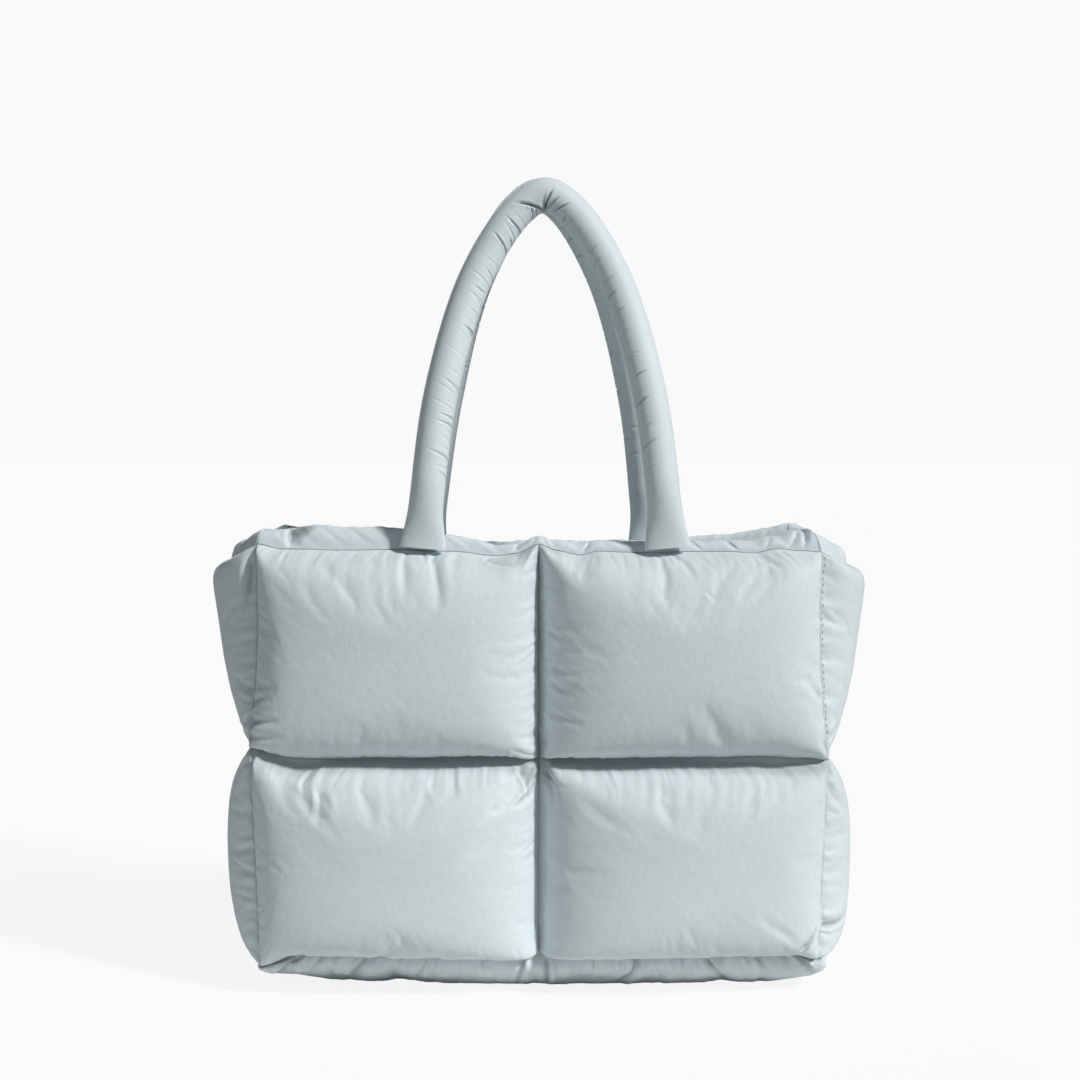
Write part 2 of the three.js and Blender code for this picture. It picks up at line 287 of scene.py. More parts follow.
class SeamNet:
    """All the seams of the bag. side is -1 left, 0 middle, 1 right; face is -1 front, 1 back."""

    @staticmethod
    def corner(side: int, face: int, level: Level) -> tuple[Array, Array]:
        """Finds where a column of seams crosses a level.

        Args:
            side: column of the corner.
            face: face of the corner.
            level: level of the corner.

        Returns:
            The corner's point, and the direction out of the bag there.
        """
        size = LEVEL_SIZES[level]
        depth = size.half_depth - (size.middle_tuck if side == 0 else 0.0)
        drop = size.middle_drop if side == 0 else 0.0
        drop += BACK_RIM_DROP if side == 0 and face > 0 and level is Level.RIM else 0.0
        lift = CORNER_LIFTS.get((side, face, level), 0.0)
        point = np.array([side * size.half_width, face * depth, size.height - drop + lift])
        normal = np.array([side, face, -size.droop])
        return point, unit(normal)

    @classmethod
    def _seam(cls, start: tuple, end: tuple, bow_name: str, away: Array) -> Seam:
        """Joins two corners by a seam that bows as its name says."""
        bow = SEAM_BOWS[bow_name]
        middle = (start[0] + end[0]) / 2
        shift = away * bow.outward + UP * bow.rise
        return Seam(start[0], middle + 2 * shift, end[0], start[1], end[1])

    @classmethod
    def upright(cls, side: int, face: int, lower: Level, upper: Level) -> Seam:
        """Returns the seam of one column between two levels."""
        corner_name = "corner_upper" if upper is Level.RIM else "corner_lower"
        name = "middle" if side == 0 else corner_name
        away = np.array([float(side), 0.0, 0.0])
        return cls._seam(cls.corner(side, face, lower), cls.corner(side, face, upper), name, away)

    @classmethod
    def across_face(cls, face: int, from_side: int, to_side: int, level: Level) -> Seam:
        """Returns the seam of one level between two columns of a face."""
        rim_name = "rim_front" if face < 0 else "rim_back"
        name = rim_name if level is Level.RIM else level.value + "_face"
        away = np.array([0.0, float(face), 0.0])
        seam = cls._seam(cls.corner(from_side, face, level), cls.corner(to_side, face, level), name, away)
        if face < 0:
            seam = replace(seam, drift=FRONT_DRIFT.get((level, from_side + to_side), STRAIGHT))
        return seam

    @classmethod
    def whole_face(cls, face: int, from_side: int, level: Level) -> SeamChain:
        """Returns the seam of one level across a whole face."""
        first = cls.across_face(face, from_side, 0, level)
        return SeamChain(first, cls.across_face(face, 0, -from_side, level))

    @classmethod
    def across_side(cls, side: int, from_face: int, to_face: int, level: Level) -> Seam:
        """Returns the seam of one level across an end of the bag."""
        away = np.array([float(side), 0.0, 0.0])
        name = level.value + "_side"
        return cls._seam(cls.corner(side, from_face, level), cls.corner(side, to_face, level), name, away)


SEAM_NORMAL_REACH = (6, 6)
BASE_NORMAL_REACH = (34, 9)


@dataclass(frozen=True)
class Patch:
    """The surface between four seams. u runs along bottom and top, v up left and right.

    Attributes:
        left: the seam where u is 0.
        right: the seam where u is 1.
        bottom: the seam where v is 0.
        top: the seam where v is 1.
        outward: direction out of the bag in its middle.
        seam_reach: powers that fade the seams' own directions, along u and along v.
    """

    left: Seam
    right: Seam
    bottom: Seam | SeamChain
    top: Seam | SeamChain
    outward: Array
    seam_reach: tuple[int, int] = SEAM_NORMAL_REACH

    def points(self, u: Array, v: Array) -> Array:
        """Returns the points of the patch at u, v."""
        a, b = u[:, None], v[:, None]
        across = self.bottom.at(u) * (1 - b) + self.top.at(u) * b
        upright = self.left.at(v) * (1 - a) + self.right.at(v) * a
        zero, one = np.zeros_like(u), np.ones_like(u)
        corners = (
            self.bottom.at(zero) * (1 - a) * (1 - b)
            + self.bottom.at(one) * a * (1 - b)
            + self.top.at(zero) * (1 - a) * b
            + self.top.at(one) * a * b
        )
        return across + upright - corners

    def normals(self, u: Array, v: Array) -> Array:
        """Returns the directions in which a pad swells, turned to the seams' own at its edges."""
        across, up = self.seam_reach
        near = [(1 - u) ** across, u**across, (1 - v) ** up, v**up]
        zero, one = np.zeros_like(u), np.ones_like(u)
        turns = [
            (self.left.normal_at(v), near[0]),
            (self.right.normal_at(v), near[1]),
            (self.bottom.normal_at(u), near[2]),
            (self.top.normal_at(u), near[3]),
            (self.bottom.normal_at(zero), -near[0] * near[2]),
            (self.bottom.normal_at(one), -near[1] * near[2]),
            (self.top.normal_at(zero), -near[0] * near[3]),
            (self.top.normal_at(one), -near[1] * near[3]),
        ]
        total = np.tile(self.outward, (len(u), 1))
        for normal, weight in turns:
            total = total + (normal - self.outward) * weight[:, None]
        return unit(total)

    @property
    def seams(self) -> tuple:
        """The left, right, bottom and top seam."""
        return (self.left, self.right, self.bottom, self.top)

    def walls(self, u: Array, v: Array) -> list[tuple[Array, Array, Array]]:
        """Finds the walls that part this pad from its neighbours.

        Args:
            u: share across the patch of each vertex.
            v: share up the patch of each vertex.

        Returns:
            For each seam, the nearest seam point, the wall's direction into the pad and the direction
            out of the bag, a row a vertex.
        """
        middle = self.points(np.array([0.5]), np.array([0.5]))
        found = []
        for seam, share in zip(self.seams, (v, v, u, u)):
            foot = seam.at(share)
            out = seam.normal_at(share)
            across = unit(np.cross(seam.tangent_at(share), out))
            side = np.sign(((middle - foot) * across).sum(axis=1, keepdims=True))
            found.append((foot, across * side, out))
        return found

    @property
    def width(self) -> float:
        """Mean length of the bottom and top seams."""
        return (self.bottom.length + self.top.length) / 2

    @property
    def height(self) -> float:
        """Mean length of the left and right seams."""
        return (self.left.length + self.right.length) / 2


@dataclass(frozen=True)
class EdgeProfile:
    """Section of a pad from a seam to its middle.

    Attributes:
        squareness: how flat its middle is.
        power: how steeply it leaves the seam, steeper for less.
    """

    squareness: float
    power: float


EDGE_PROFILES = {
    EdgeKind.SHALLOW: EdgeProfile(4.8, 0.78),
    EdgeKind.DEEP: EdgeProfile(3.0, 0.5),
    EdgeKind.ROUND: EdgeProfile(2.5, 0.65),
    EdgeKind.FULL: EdgeProfile(8.0, 0.4),
    EdgeKind.TAPER: EdgeProfile(1.7, 0.85),
    EdgeKind.SLOPED: EdgeProfile(2.6, 0.6),
    EdgeKind.STEEP: EdgeProfile(5.5, 0.5),
    EdgeKind.BLUNT: EdgeProfile(6.5, 0.48),
}
CORNER_FULLNESS = 3.0
LEAST_PROFILE = 1e-4
WAVE_SHARES = (0.2, 0.45)


def soft_waves(along: Array, lengths: tuple[float, ...], seed: int) -> Array:
    """Adds up soft waves of several lengths.

    Args:
        along: distances along a line.
        lengths: wave lengths.
        seed: number that sets the waves.

    Returns:
        The waves' height at each distance, mostly from -1 to 1.
    """
    draw = np.random.default_rng(seed)
    total = np.zeros_like(along)
    for length in lengths:
        total += np.sin(2 * math.pi * (along / length + draw.uniform())) * draw.uniform(*WAVE_SHARES)
    return total


@dataclass(frozen=True)
class Lip:
    """How far a pad's edge stays from a seam at one place.

    Attributes:
        share: the place, as a share of the seam.
        gap: the distance there.
    """

    share: float
    gap: float


def lips(*rows: tuple[float, float]) -> tuple[Lip, ...]:
    """Returns lips from rows of a share along the seam and a gap in millimetres."""
    return tuple(Lip(share, gap * MM) for share, gap in rows)


@dataclass(frozen=True)
class Groove:
    """How a pad's edge keeps away from one of its seams.

    Attributes:
        lips: its distance from the seam, along the seam.
        scallop: height of the small waves in the edge.
        shade_height: height over the seam up to which painted shade darkens the cloth, or None where the
            edges touch.
        shade: how dark that painted shade is, from 0 to 1.
    """

    lips: tuple[Lip, ...]
    scallop: float
    shade_height: float | None = None
    shade: float = 0.42

    WAVE_LENGTHS = (0.041, 0.023, 0.013, 0.008)
    STEADY_END = 10 * MM

    def gaps(self, share: Array, length: float, seed: int) -> Array:
        """Works out how far the edge stays from the seam.

        Args:
            share: shares of the seam.
            length: length of the seam.
            seed: number that sets the small waves.

        Returns:
            The distance at each share.
        """
        straight = np.interp(share, [lip.share for lip in self.lips], [lip.gap for lip in self.lips])
        free = smoothstep(np.minimum(share, 1 - share) * length, 0, self.STEADY_END)
        waves = soft_waves(share * length, self.WAVE_LENGTHS, seed)
        return np.maximum(SEAM_CLEARANCE, straight + waves * self.scallop * free)

    def mirrored(self) -> "Groove":
        """Returns the groove with its ends exchanged."""
        return replace(self, lips=tuple(Lip(1 - lip.share, lip.gap) for lip in reversed(self.lips)))


# Each groove paints shade into the cloth's colour along its seam; FAINT and OPEN_FAINT paint it fainter.
RIM_GROOVE = Groove(lips((0.0, 0.2), (1.0, 0.2)), 0.5 * MM, 1.0 * MM, 0.3)
TIGHT = Groove(lips((0.0, 0.3), (1.0, 0.3)), 0.25 * MM)
FAINT = replace(TIGHT, shade=0.25)
OPEN_LIPS = lips((0.0, 0.3), (0.06, 1.1), (0.94, 1.1), (1.0, 0.3))
OPEN = Groove(OPEN_LIPS, 0.45 * MM)
OPEN_FAINT = replace(OPEN, shade=0.25)


@dataclass(frozen=True)
class PadEdge:
    """One edge of a pad: how it rises from its seam, and how far it stays from it."""

    kind: EdgeKind
    groove: Groove = TIGHT


@dataclass(frozen=True)
class Edges:
    """The four edges of a pad."""

    left: PadEdge
    right: PadEdge
    bottom: PadEdge
    top: PadEdge

    def grooves(self) -> tuple[Groove, ...]:
        """Returns the grooves of the left, right, bottom and top edge."""
        return (self.left.groove, self.right.groove, self.bottom.groove, self.top.groove)


@dataclass(frozen=True)
class Stuffing:
    """How full a pad is.

    Attributes:
        swell_out: how far its outer cloth stands from the seams' surface.
        swell_in: how far its inner cloth stands into the bag.
        fill: how tight it is, from 0 to 1; not used.
        slack_middle: spare cloth in the middle of the pad, as a share.
        slack_edge: spare cloth along its seams, as a share.
    """

    swell_out: float
    swell_in: float
    fill: float
    slack_middle: float
    slack_edge: float


@dataclass(frozen=True)
class Fold:
    """A valley in a pad, from a point at a seam to a point inside, in shares of the pad.

    Attributes:
        start: u, v where it starts, at its deepest.
        end: u, v where it runs out.
        half_width: half its width.
        depth: its depth at the start.
        bow: how far its middle bends aside.
        lap: how many times wider its left side is than its right one, as seen from its start.
    """

    start: tuple[float, float]
    end: tuple[float, float]
    half_width: float
    depth: float
    bow: float = 0.0
    lap: float = 1.0

    CREST_HEIGHT = 0.45
    CREST_PLACE = 2.3
    FADE_IN = 6.0
    FADE_OUT = 0.7

    def relief(self, place: Array, scale: Array, sharp: bool) -> Array:
        """Works out how deep the fold is.

        Args:
            place: places on the cloth in metres, a row each.
            scale: width and height of the pad.
            sharp: whether it is a sharp crease with raised lips, and not a soft valley.

        Returns:
            The depth at each place.
        """
        start = np.array(self.start) * scale
        run = np.array(self.end) * scale - start
        length = np.linalg.norm(run)
        along = (place - start) @ run / length**2
        aside = (place - start) @ np.array([-run[1], run[0]]) / length
        aside = aside - self.bow * 4 * along * (1 - along)
        fade = np.clip(1 - along, 0, 1) ** self.FADE_OUT * np.clip(1 + along * self.FADE_IN, 0, 1)
        reach = np.abs(aside) / (self.half_width * np.where(aside > 0, self.lap, 1.0))
        if sharp:
            valley = np.exp(-reach) - self.CREST_HEIGHT * np.exp(-((reach - self.CREST_PLACE) ** 2))
        else:
            valley = np.exp(-(reach**2))
        return self.depth * fade * valley

    def mirrored(self) -> "Fold":
        """Returns the fold with left and right exchanged."""
        start, end = (1 - self.start[0], self.start[1]), (1 - self.end[0], self.end[1])
        return Fold(start, end, self.half_width * self.lap, self.depth, -self.bow, 1 / self.lap)


def fold_of(
    start: tuple, end: tuple, half_width: float, depth: float, bow: float = 0.0, lap: float = 1.0
) -> Fold:
    """Returns a fold whose half width, depth and bow are given in millimetres."""
    return Fold(start, end, half_width * MM, depth * MM, bow * MM, lap)


def fold_rows(*rows: tuple) -> tuple[Fold, ...]:
    """Returns the folds of a table, from rows of what fold_of takes."""
    return tuple(fold_of(*row) for row in rows)


@dataclass(frozen=True)
class Puckers:
    """Small sharp creases at irregular places along a pad's seams, where the stitching draws the cloth in.

    Attributes:
        spacing: least and greatest distance between them.
        reach: least and greatest length.
        depth: least and greatest depth.
        half_width: least and greatest half width.
        slant: most that they lean aside, for one inwards.
    """

    spacing: tuple[float, float] = (4 * MM, 15 * MM)
    reach: tuple[float, float] = (5 * MM, 18 * MM)
    depth: tuple[float, float] = (0.12 * MM, 0.75 * MM)
    half_width: tuple[float, float] = (0.8 * MM, 1.2 * MM)
    slant: float = 0.8

    RARITY = 2
    BOW_SHARE = 0.1

    def folds(self, width: float, height: float, seed: int) -> list[Fold]:
        """Draws the creases of one pad.

        Args:
            width: width of the pad.
            height: height of the pad.
            seed: number that sets them.

        Returns:
            The creases along its left, right, bottom and top seam.
        """
        draw = np.random.default_rng(seed)
        found = []
        for upright, far in ((True, False), (True, True), (False, False), (False, True)):
            length, across = (height, width) if upright else (width, height)
            place = draw.uniform(*self.spacing)
            while place < length:
                reach = draw.uniform(*self.reach)
                lean = draw.uniform(-self.slant, self.slant) * reach
                depth = self.depth[0] + (self.depth[1] - self.depth[0]) * draw.uniform() ** self.RARITY
                start, end = (0.0, place / length), (reach / across, (place + lean) / length)
                if far:
                    start, end = (1 - start[0], start[1]), (1 - end[0], end[1])
                if not upright:
                    start, end = start[::-1], end[::-1]
                half_width = draw.uniform(*self.half_width)
                found.append(Fold(start, end, half_width, depth, self.BOW_SHARE * lean))
                place += draw.uniform(*self.spacing)
        return found


FACE_STUFFING = {
    "upper": Stuffing(0.031, 0.008, 0.75, 0.006, 0.010),
    "lower": Stuffing(0.031, 0.008, 0.75, 0.005, 0.006),
}
SIDE_STUFFING = {
    "upper": Stuffing(0.015, 0.003, 0.6, 0.012, 0.03),
    "lower": Stuffing(0.020, 0.007, 0.6, 0.012, 0.03),
}
BASE_STUFFING = Stuffing(0.030, 0.008, 0.6, 0.015, 0.10)
MIDDLE_FULLNESS = 0.13
FINE_STEP = 1.9 * MM
PLAIN_STEP = 2.3 * MM
INNER_STEP = 5.0 * MM
LEAST_INNER_FACES = 4
SEAM_MARGIN = 0.4 * MM
STRIP_HEIGHT = 2.0 * MM
LIP_HEIGHT = 8.0 * MM
PUCKER_SEEDS = 300
# Painted shade: how far it reaches from a touching edge and from a groove, how dark it is in creases, and
# the depths of crease, crimp and fold over which it sets in.
CONTACT_SHADE = 0.7 * MM
GROOVE_REACH = 24 * MM
CREASE_MARGIN = 2.0 * MM
CREASE_SHADE = 0.6
SHADED_CREASES = (0.2 * MM, 2 * MM)
SHADED_CRIMPS = (0.1 * MM, 1.2 * MM)
SHADED_FOLDS = (1.0 * MM, 6 * MM)
PAINTED_SHADE = "painted_crevice_shade"
START_SHARE = 0.92
FLOOR_CLEARANCE = 0.3 * MM


@dataclass(frozen=True)
class ClothRun:
    """Settings of the cloth simulation that puffs the pads up.

    Attributes:
        frames: how long it runs.
        quality: steps in each frame.
        pressure: pressure of the fill.
        gravity: share of gravity that acts.
        stiffness: resistance to stretch.
        shear: resistance to shear.
        bending: resistance to bending.
        damping: how fast movement dies down.
        gather_reach: how far from a seam the spare cloth reaches.
        ripple: height of the ripples that it starts with.
        most_moved: most that a point may move.
    """

    frames: int = 25
    quality: int = 6
    pressure: float = 6.0
    gravity: float = 0.002
    stiffness: float = 15.0
    shear: float = 5.0
    bending: float = 1.0
    damping: float = 5.0
    gather_reach: float = 24 * MM
    ripple: float = 0.08 * MM
    most_moved: float = 9 * MM


CLOTH_RUN = ClothRun()


def select_only(*objects: Thing) -> None:
    """Selects these objects and nothing else, and makes the first one active."""
    bpy.ops.object.select_all(action="DESELECT")
    for thing in objects:
        thing.select_set(True)
    bpy.context.view_layer.objects.active = objects[0]


def read_points(thing: Thing) -> Array:
    """Returns the mesh's vertices, a row each."""
    flat = np.empty(len(thing.data.vertices) * 3)
    thing.data.vertices.foreach_get("co", flat)
    return flat.reshape(-1, 3)


def write_points(thing: Thing, points: Array) -> None:
    """Moves the mesh's vertices to these points."""
    thing.data.vertices.foreach_set("co", np.ascontiguousarray(points, np.float32).ravel())
    thing.data.update()


def add_grid(name: str, across: int, up: int) -> tuple[Thing, Array, Array]:
    """Adds a grid primitive with a UV map.

    Args:
        name: name of the new object.
        across: faces along u.
        up: faces along v.

    Returns:
        The object, and the u and v of its vertices from 0 to 1.
    """
    bpy.ops.object.select_all(action="DESELECT")
    bpy.ops.mesh.primitive_grid_add(x_subdivisions=across, y_subdivisions=up, size=1, calc_uvs=True)
    thing = bpy.context.object
    thing.name = name
    thing.data.name = name
    points = read_points(thing)
    return thing, points[:, 0] + 0.5, points[:, 1] + 0.5


def scale_uv(thing: Thing, width: float, height: float) -> None:
    """Scales the UV map so that it measures the cloth in metres."""
    layer = thing.data.uv_layers[0]
    flat = np.empty(len(layer.data) * 2, np.float32)
    layer.data.foreach_get("uv", flat)
    pairs = flat.reshape(-1, 2) * np.array([width, height], np.float32)
    layer.data.foreach_set("uv", pairs.ravel())


def read_uv(thing: Thing) -> Array:
    """Returns each vertex's place on the UV map, a row each."""
    loops = thing.data.loops
    owners = np.empty(len(loops), np.int32)
    loops.foreach_get("vertex_index", owners)
    flat = np.empty(len(loops) * 2, np.float32)
    thing.data.uv_layers[0].data.foreach_get("uv", flat)
    places = np.zeros((len(thing.data.vertices), 2))
    places[owners] = flat.reshape(-1, 2)
    return places


def read_normals(thing: Thing) -> Array:
    """Returns the mesh's vertex normals, a row each."""
    flat = np.empty(len(thing.data.vertices) * 3, np.float32)
    thing.data.vertex_normals.foreach_get("vector", flat)
    return flat.reshape(-1, 3)


def set_painted_shade(thing: Thing, shade: Array) -> None:
    """Stores each vertex's painted shade, from 0 to 1, which darkens the cloth's colour in creases and
    grooves.
    """
    layer = thing.data.attributes.new(PAINTED_SHADE, "FLOAT", "POINT")
    layer.data.foreach_set("value", np.clip(shade, 0, 1).astype(np.float32))


def apply_modifier(thing: Thing, modifier: bpy.types.Modifier) -> None:
    """Applies one modifier of an object."""
    select_only(thing)
    bpy.ops.object.modifier_apply(modifier=modifier.name)


def set_vertex_group(thing: Thing, name: str, weights: Array) -> None:
    """Makes a vertex group with these weights, in a few hundred steps."""
    group = thing.vertex_groups.new(name=name)
    steps = np.round(weights, 2)
    for weight in np.unique(steps):
        members = np.where(steps == weight)[0].tolist()
        group.add(members, float(weight), "REPLACE")


@dataclass
class Pad:
    """One stuffed pad between four seams: an outer cloth that puffs out and an inner cloth.

    Attributes:
        node: name of the solid that it stands for.
        patch: the surface between its seams.
        stuffing: how full it is.
        edges: its edges along the seams.
        folds: the soft folds that it starts with.
        creases: the sharp creases that it ends with.
        puckers: the small creases along its seams.
        seed: number that sets its small ripples.
        step: size of the cloth's faces while it puffs up.
        tilt: how much fuller it is at its right edge than in the middle, as a share.
        skin: the outer cloth, once it is made.
        start: points of the outer cloth before it puffs up.
        u: share across the pad of each vertex.
        v: share up the pad of each vertex.
        gaps: how far each vertex stays from the four seams.
    """

    node: str
    patch: Patch
    stuffing: Stuffing
    edges: Edges
    folds: tuple[Fold, ...]
    creases: tuple[Fold, ...]
    puckers: Puckers
    seed: int
    step: float = PLAIN_STEP
    tilt: float = 0.0
    skin: Thing | None = None
    start: Array | None = None
    u: Array | None = None
    v: Array | None = None
    gaps: list[Array] | None = None

    @property
    def scale(self) -> Array:
        """Width and height of the pad."""
        return np.array([self.patch.width, self.patch.height])

    def _edge_gaps(self, u: Array, v: Array) -> list[Array]:
        """Returns how far the cloth stays from the left, right, bottom and top seam at u, v."""
        rows = enumerate(zip(self.edges.grooves(), self.patch.seams, (v, v, u, u)))
        return [groove.gaps(share, seam.length, 4 * self.seed + i) for i, (groove, seam, share) in rows]

    @staticmethod
    def _profile(share: Array, length: float, kinds: tuple[EdgeKind, EdgeKind], gaps: list[Array]) -> Array:
        """Returns how high the cloth stands along one direction, from 0 on the seams to 1 in the middle."""
        low, high = (gap + SEAM_MARGIN for gap in gaps)
        inner = np.clip((share * length - low) / (length - low - high), 0, 1)
        rise = []
        for kind in kinds:
            profile = EDGE_PROFILES[kind]
            rise.append(np.maximum(0, 1 - np.abs(2 * inner - 1) ** profile.squareness) ** profile.power)
        return np.maximum(np.where(inner < 0.5, rise[0], rise[1]), LEAST_PROFILE)

    def crown(self, u: Array, v: Array) -> Array:
        """Returns the share of the full swelling at u, v."""
        gaps = self._edge_gaps(u, v)
        edges = self.edges
        across = self._profile(u, self.patch.width, (edges.left.kind, edges.right.kind), gaps[:2])
        upright = self._profile(v, self.patch.height, (edges.bottom.kind, edges.top.kind), gaps[2:])
        both = across**-CORNER_FULLNESS + upright**-CORNER_FULLNESS - 1
        return both ** (-1 / CORNER_FULLNESS)

    def _from_seams(self, u: Array, v: Array) -> list[Array]:
        """Returns the distance on the cloth from the left, right, bottom and top seam."""
        width, height = self.scale
        return [u * width, (1 - u) * width, v * height, (1 - v) * height]

    def build_skin(self) -> None:
        """Makes the outer cloth as a grid that already swells a little, with its seams marked."""
        across, up = (round(side / self.step) for side in self.scale)
        self.skin, self.u, self.v = add_grid(self.node + "_skin", across, up)
        scale_uv(self.skin, *self.scale)
        self.gaps = self._edge_gaps(self.u, self.v)
        from_seams = self._from_seams(self.u, self.v)
        close = [far < np.maximum(gap, SEAM_MARGIN) for far, gap in zip(from_seams, self.gaps)]
        sewn = np.any(close, axis=0)
        place = np.stack([self.u, self.v], axis=1) * self.scale
        folded = np.zeros(len(place))
        for fold in self.folds:
            folded += fold.relief(place, self.scale, sharp=False)
        ripple = np.random.default_rng(self.seed).normal(0, CLOTH_RUN.ripple, len(place))
        full = START_SHARE * self.stuffing.swell_out * (1 + self.tilt * (2 * self.u - 1))
        swell = self.crown(self.u, self.v) * (full - folded)
        height = SEAM_THICKNESS / 2 + swell + np.where(sewn, 0, ripple)
        swollen = self.patch.normals(self.u, self.v) * height[:, None]
        self.start = self._keep_inside(self.patch.points(self.u, self.v) + swollen)
        write_points(self.skin, self.start)
        set_vertex_group(self.skin, "seam", np.where(sewn, 1.0, 0.0))
        nearest = np.minimum.reduce(from_seams)
        set_vertex_group(self.skin, "gather", np.exp(-nearest / CLOTH_RUN.gather_reach))

    def add_cloth(self) -> None:
        """Gives the outer cloth a Cloth modifier, with its seams pinned and pressure behind it."""
        modifier = self.skin.modifiers.new("Cloth", "CLOTH")
        run = modifier.settings
        run.quality = CLOTH_RUN.quality
        run.tension_stiffness = CLOTH_RUN.stiffness
        run.compression_stiffness = CLOTH_RUN.stiffness
        run.shear_stiffness = CLOTH_RUN.shear
        run.bending_stiffness = CLOTH_RUN.bending
        run.tension_damping = CLOTH_RUN.damping
        run.compression_damping = CLOTH_RUN.damping
        run.shear_damping = CLOTH_RUN.damping
        run.vertex_group_mass = "seam"
        run.vertex_group_shrink = "gather"
        run.shrink_min = -self.stuffing.slack_middle
        run.shrink_max = -self.stuffing.slack_edge
        run.use_pressure = True
        run.uniform_pressure_force = CLOTH_RUN.pressure
        run.effector_weights.gravity = CLOTH_RUN.gravity
        modifier.collision_settings.use_collision = False
        modifier.point_cache.frame_start = 1
        modifier.point_cache.frame_end = CLOTH_RUN.frames

    def _keep_inside(self, points: Array) -> Array:
        """Pushes points back behind the walls that part the pad from its neighbours, and off the floor."""
        kept = points.copy()
        for (foot, inward, out), gap in zip(self.patch.walls(self.u, self.v), self.gaps):
            aside = ((kept - foot) * inward).sum(axis=1)
            height = ((kept - foot) * out).sum(axis=1)
            least = SEAM_CLEARANCE + (gap - SEAM_CLEARANCE) * smoothstep(height, STRIP_HEIGHT, LIP_HEIGHT)
            kept += inward * np.maximum(0, least - aside)[:, None]
        kept[:, 2] = np.maximum(kept[:, 2], FLOOR_CLEARANCE)
        return kept

    def settle(self) -> None:
        """Applies the simulation, caps how far it went and smooths the cloth by one subdivision."""
        cloth = self.skin.modifiers.get("Cloth")
        if cloth is not None:
            apply_modifier(self.skin, cloth)
        moved = read_points(self.skin) - self.start
        far = np.linalg.norm(moved, axis=1, keepdims=True)
        moved *= np.minimum(1, CLOTH_RUN.most_moved / np.maximum(far, TINY))
        write_points(self.skin, self._keep_inside(self.start + moved))
        smooth = self.skin.modifiers.new("Smooth", "SUBSURF")
        smooth.levels = 1
        smooth.render_levels = 1
        smooth.boundary_smooth = "PRESERVE_CORNERS"
        apply_modifier(self.skin, smooth)

    def crease(self) -> None:
        """Presses the sharp creases and the puckers into the smoothed cloth, and paints shade into the
        creases and along the grooves.
        """
        place = read_uv(self.skin)
        self.u, self.v = np.clip(place / self.scale, 0, 1).T
        self.gaps = self._edge_gaps(self.u, self.v)
        drawn = self.puckers.folds(*self.scale, PUCKER_SEEDS + self.seed)
        depth = np.zeros(len(place))
        for fold in (*self.creases, *drawn):
            depth += fold.relief(place, self.scale, sharp=True)
        from_seams = self._from_seams(self.u, self.v)
        clear = [smoothstep(far, gap, gap + CREASE_MARGIN) for far, gap in zip(from_seams, self.gaps)]
        depth *= np.minimum.reduce(clear)
        points = self._keep_inside(read_points(self.skin) - read_normals(self.skin) * depth[:, None])
        write_points(self.skin, points)
        # Painted shade: darker where the creases are deep and in the grooves by the seams.
        painted_crease_shade = CREASE_SHADE * smoothstep(depth, *SHADED_CREASES)
        set_painted_shade(self.skin, np.maximum(painted_crease_shade, self._groove_shade(points)))

    def _groove_shade(self, points: Array) -> Array:
        """Returns how much painted shade each vertex takes from the grooves, from 0 to 1."""
        shade = np.zeros(len(points))
        walls = self.patch.walls(self.u, self.v)
        rows = zip(walls, self.gaps, self.edges.grooves(), self._from_seams(self.u, self.v))
        for (foot, inward, out), gap, groove, far in rows:
            if groove.shade_height is None:
                aside = ((points - foot) * inward).sum(axis=1)
                near = np.exp(-np.maximum(0, aside - gap) / CONTACT_SHADE)
            else:
                height = ((points - foot) * out).sum(axis=1)
                near = 1 - smoothstep(height, groove.shade_height / 2, groove.shade_height)
            near *= groove.shade * (1 - smoothstep(far, GROOVE_REACH / 2, GROOVE_REACH))
            shade = np.maximum(shade, near)
        return shade

    def close(self) -> Thing:
        """Adds the inner cloth and joins both along the seams.

        Returns:
            The closed pad.
        """
        across, up = (max(LEAST_INNER_FACES, round(side / INNER_STEP)) for side in self.scale)
        inner, u, v = add_grid(self.node + "_inner", across, up)
        scale_uv(inner, *self.scale)
        depth = SEAM_THICKNESS / 2 + self.crown(u, v) ** 2 * self.stuffing.swell_in
        write_points(inner, self.patch.points(u, v) - self.patch.normals(u, v) * depth[:, None])
        select_only(self.skin, inner)
        bpy.ops.object.join()
        bpy.ops.object.mode_set(mode="EDIT")
        bpy.ops.mesh.select_mode(type="EDGE")
        bpy.ops.mesh.select_all(action="DESELECT")
        bpy.ops.mesh.select_non_manifold()
        bpy.ops.mesh.bridge_edge_loops()
        bpy.ops.mesh.select_all(action="SELECT")
        bpy.ops.mesh.normals_make_consistent(inside=False)
        bpy.ops.object.mode_set(mode="OBJECT")
        bpy.ops.object.shade_smooth()
        pad = self.skin
        pad.vertex_groups.clear()
        pad.name = self.node + "_stuffed"
        pad.data.name = pad.name
        return pad


@dataclass(frozen=True)
class SideKinds:
    """How the pad of an end rises from the corner seams, and from its bottom and top seam."""

    flanks: EdgeKind
    bottom: EdgeKind
    top: EdgeKind


UPPER_SIDE_KINDS = SideKinds(EdgeKind.SHALLOW, EdgeKind.TAPER, EdgeKind.FULL)
SIDE_KINDS = {
    "left_upper": UPPER_SIDE_KINDS,
    "left_lower": SideKinds(EdgeKind.ROUND, EdgeKind.ROUND, EdgeKind.ROUND),
    "right_upper": UPPER_SIDE_KINDS,
    "right_lower": SideKinds(EdgeKind.ROUND, EdgeKind.STEEP, EdgeKind.ROUND),
}
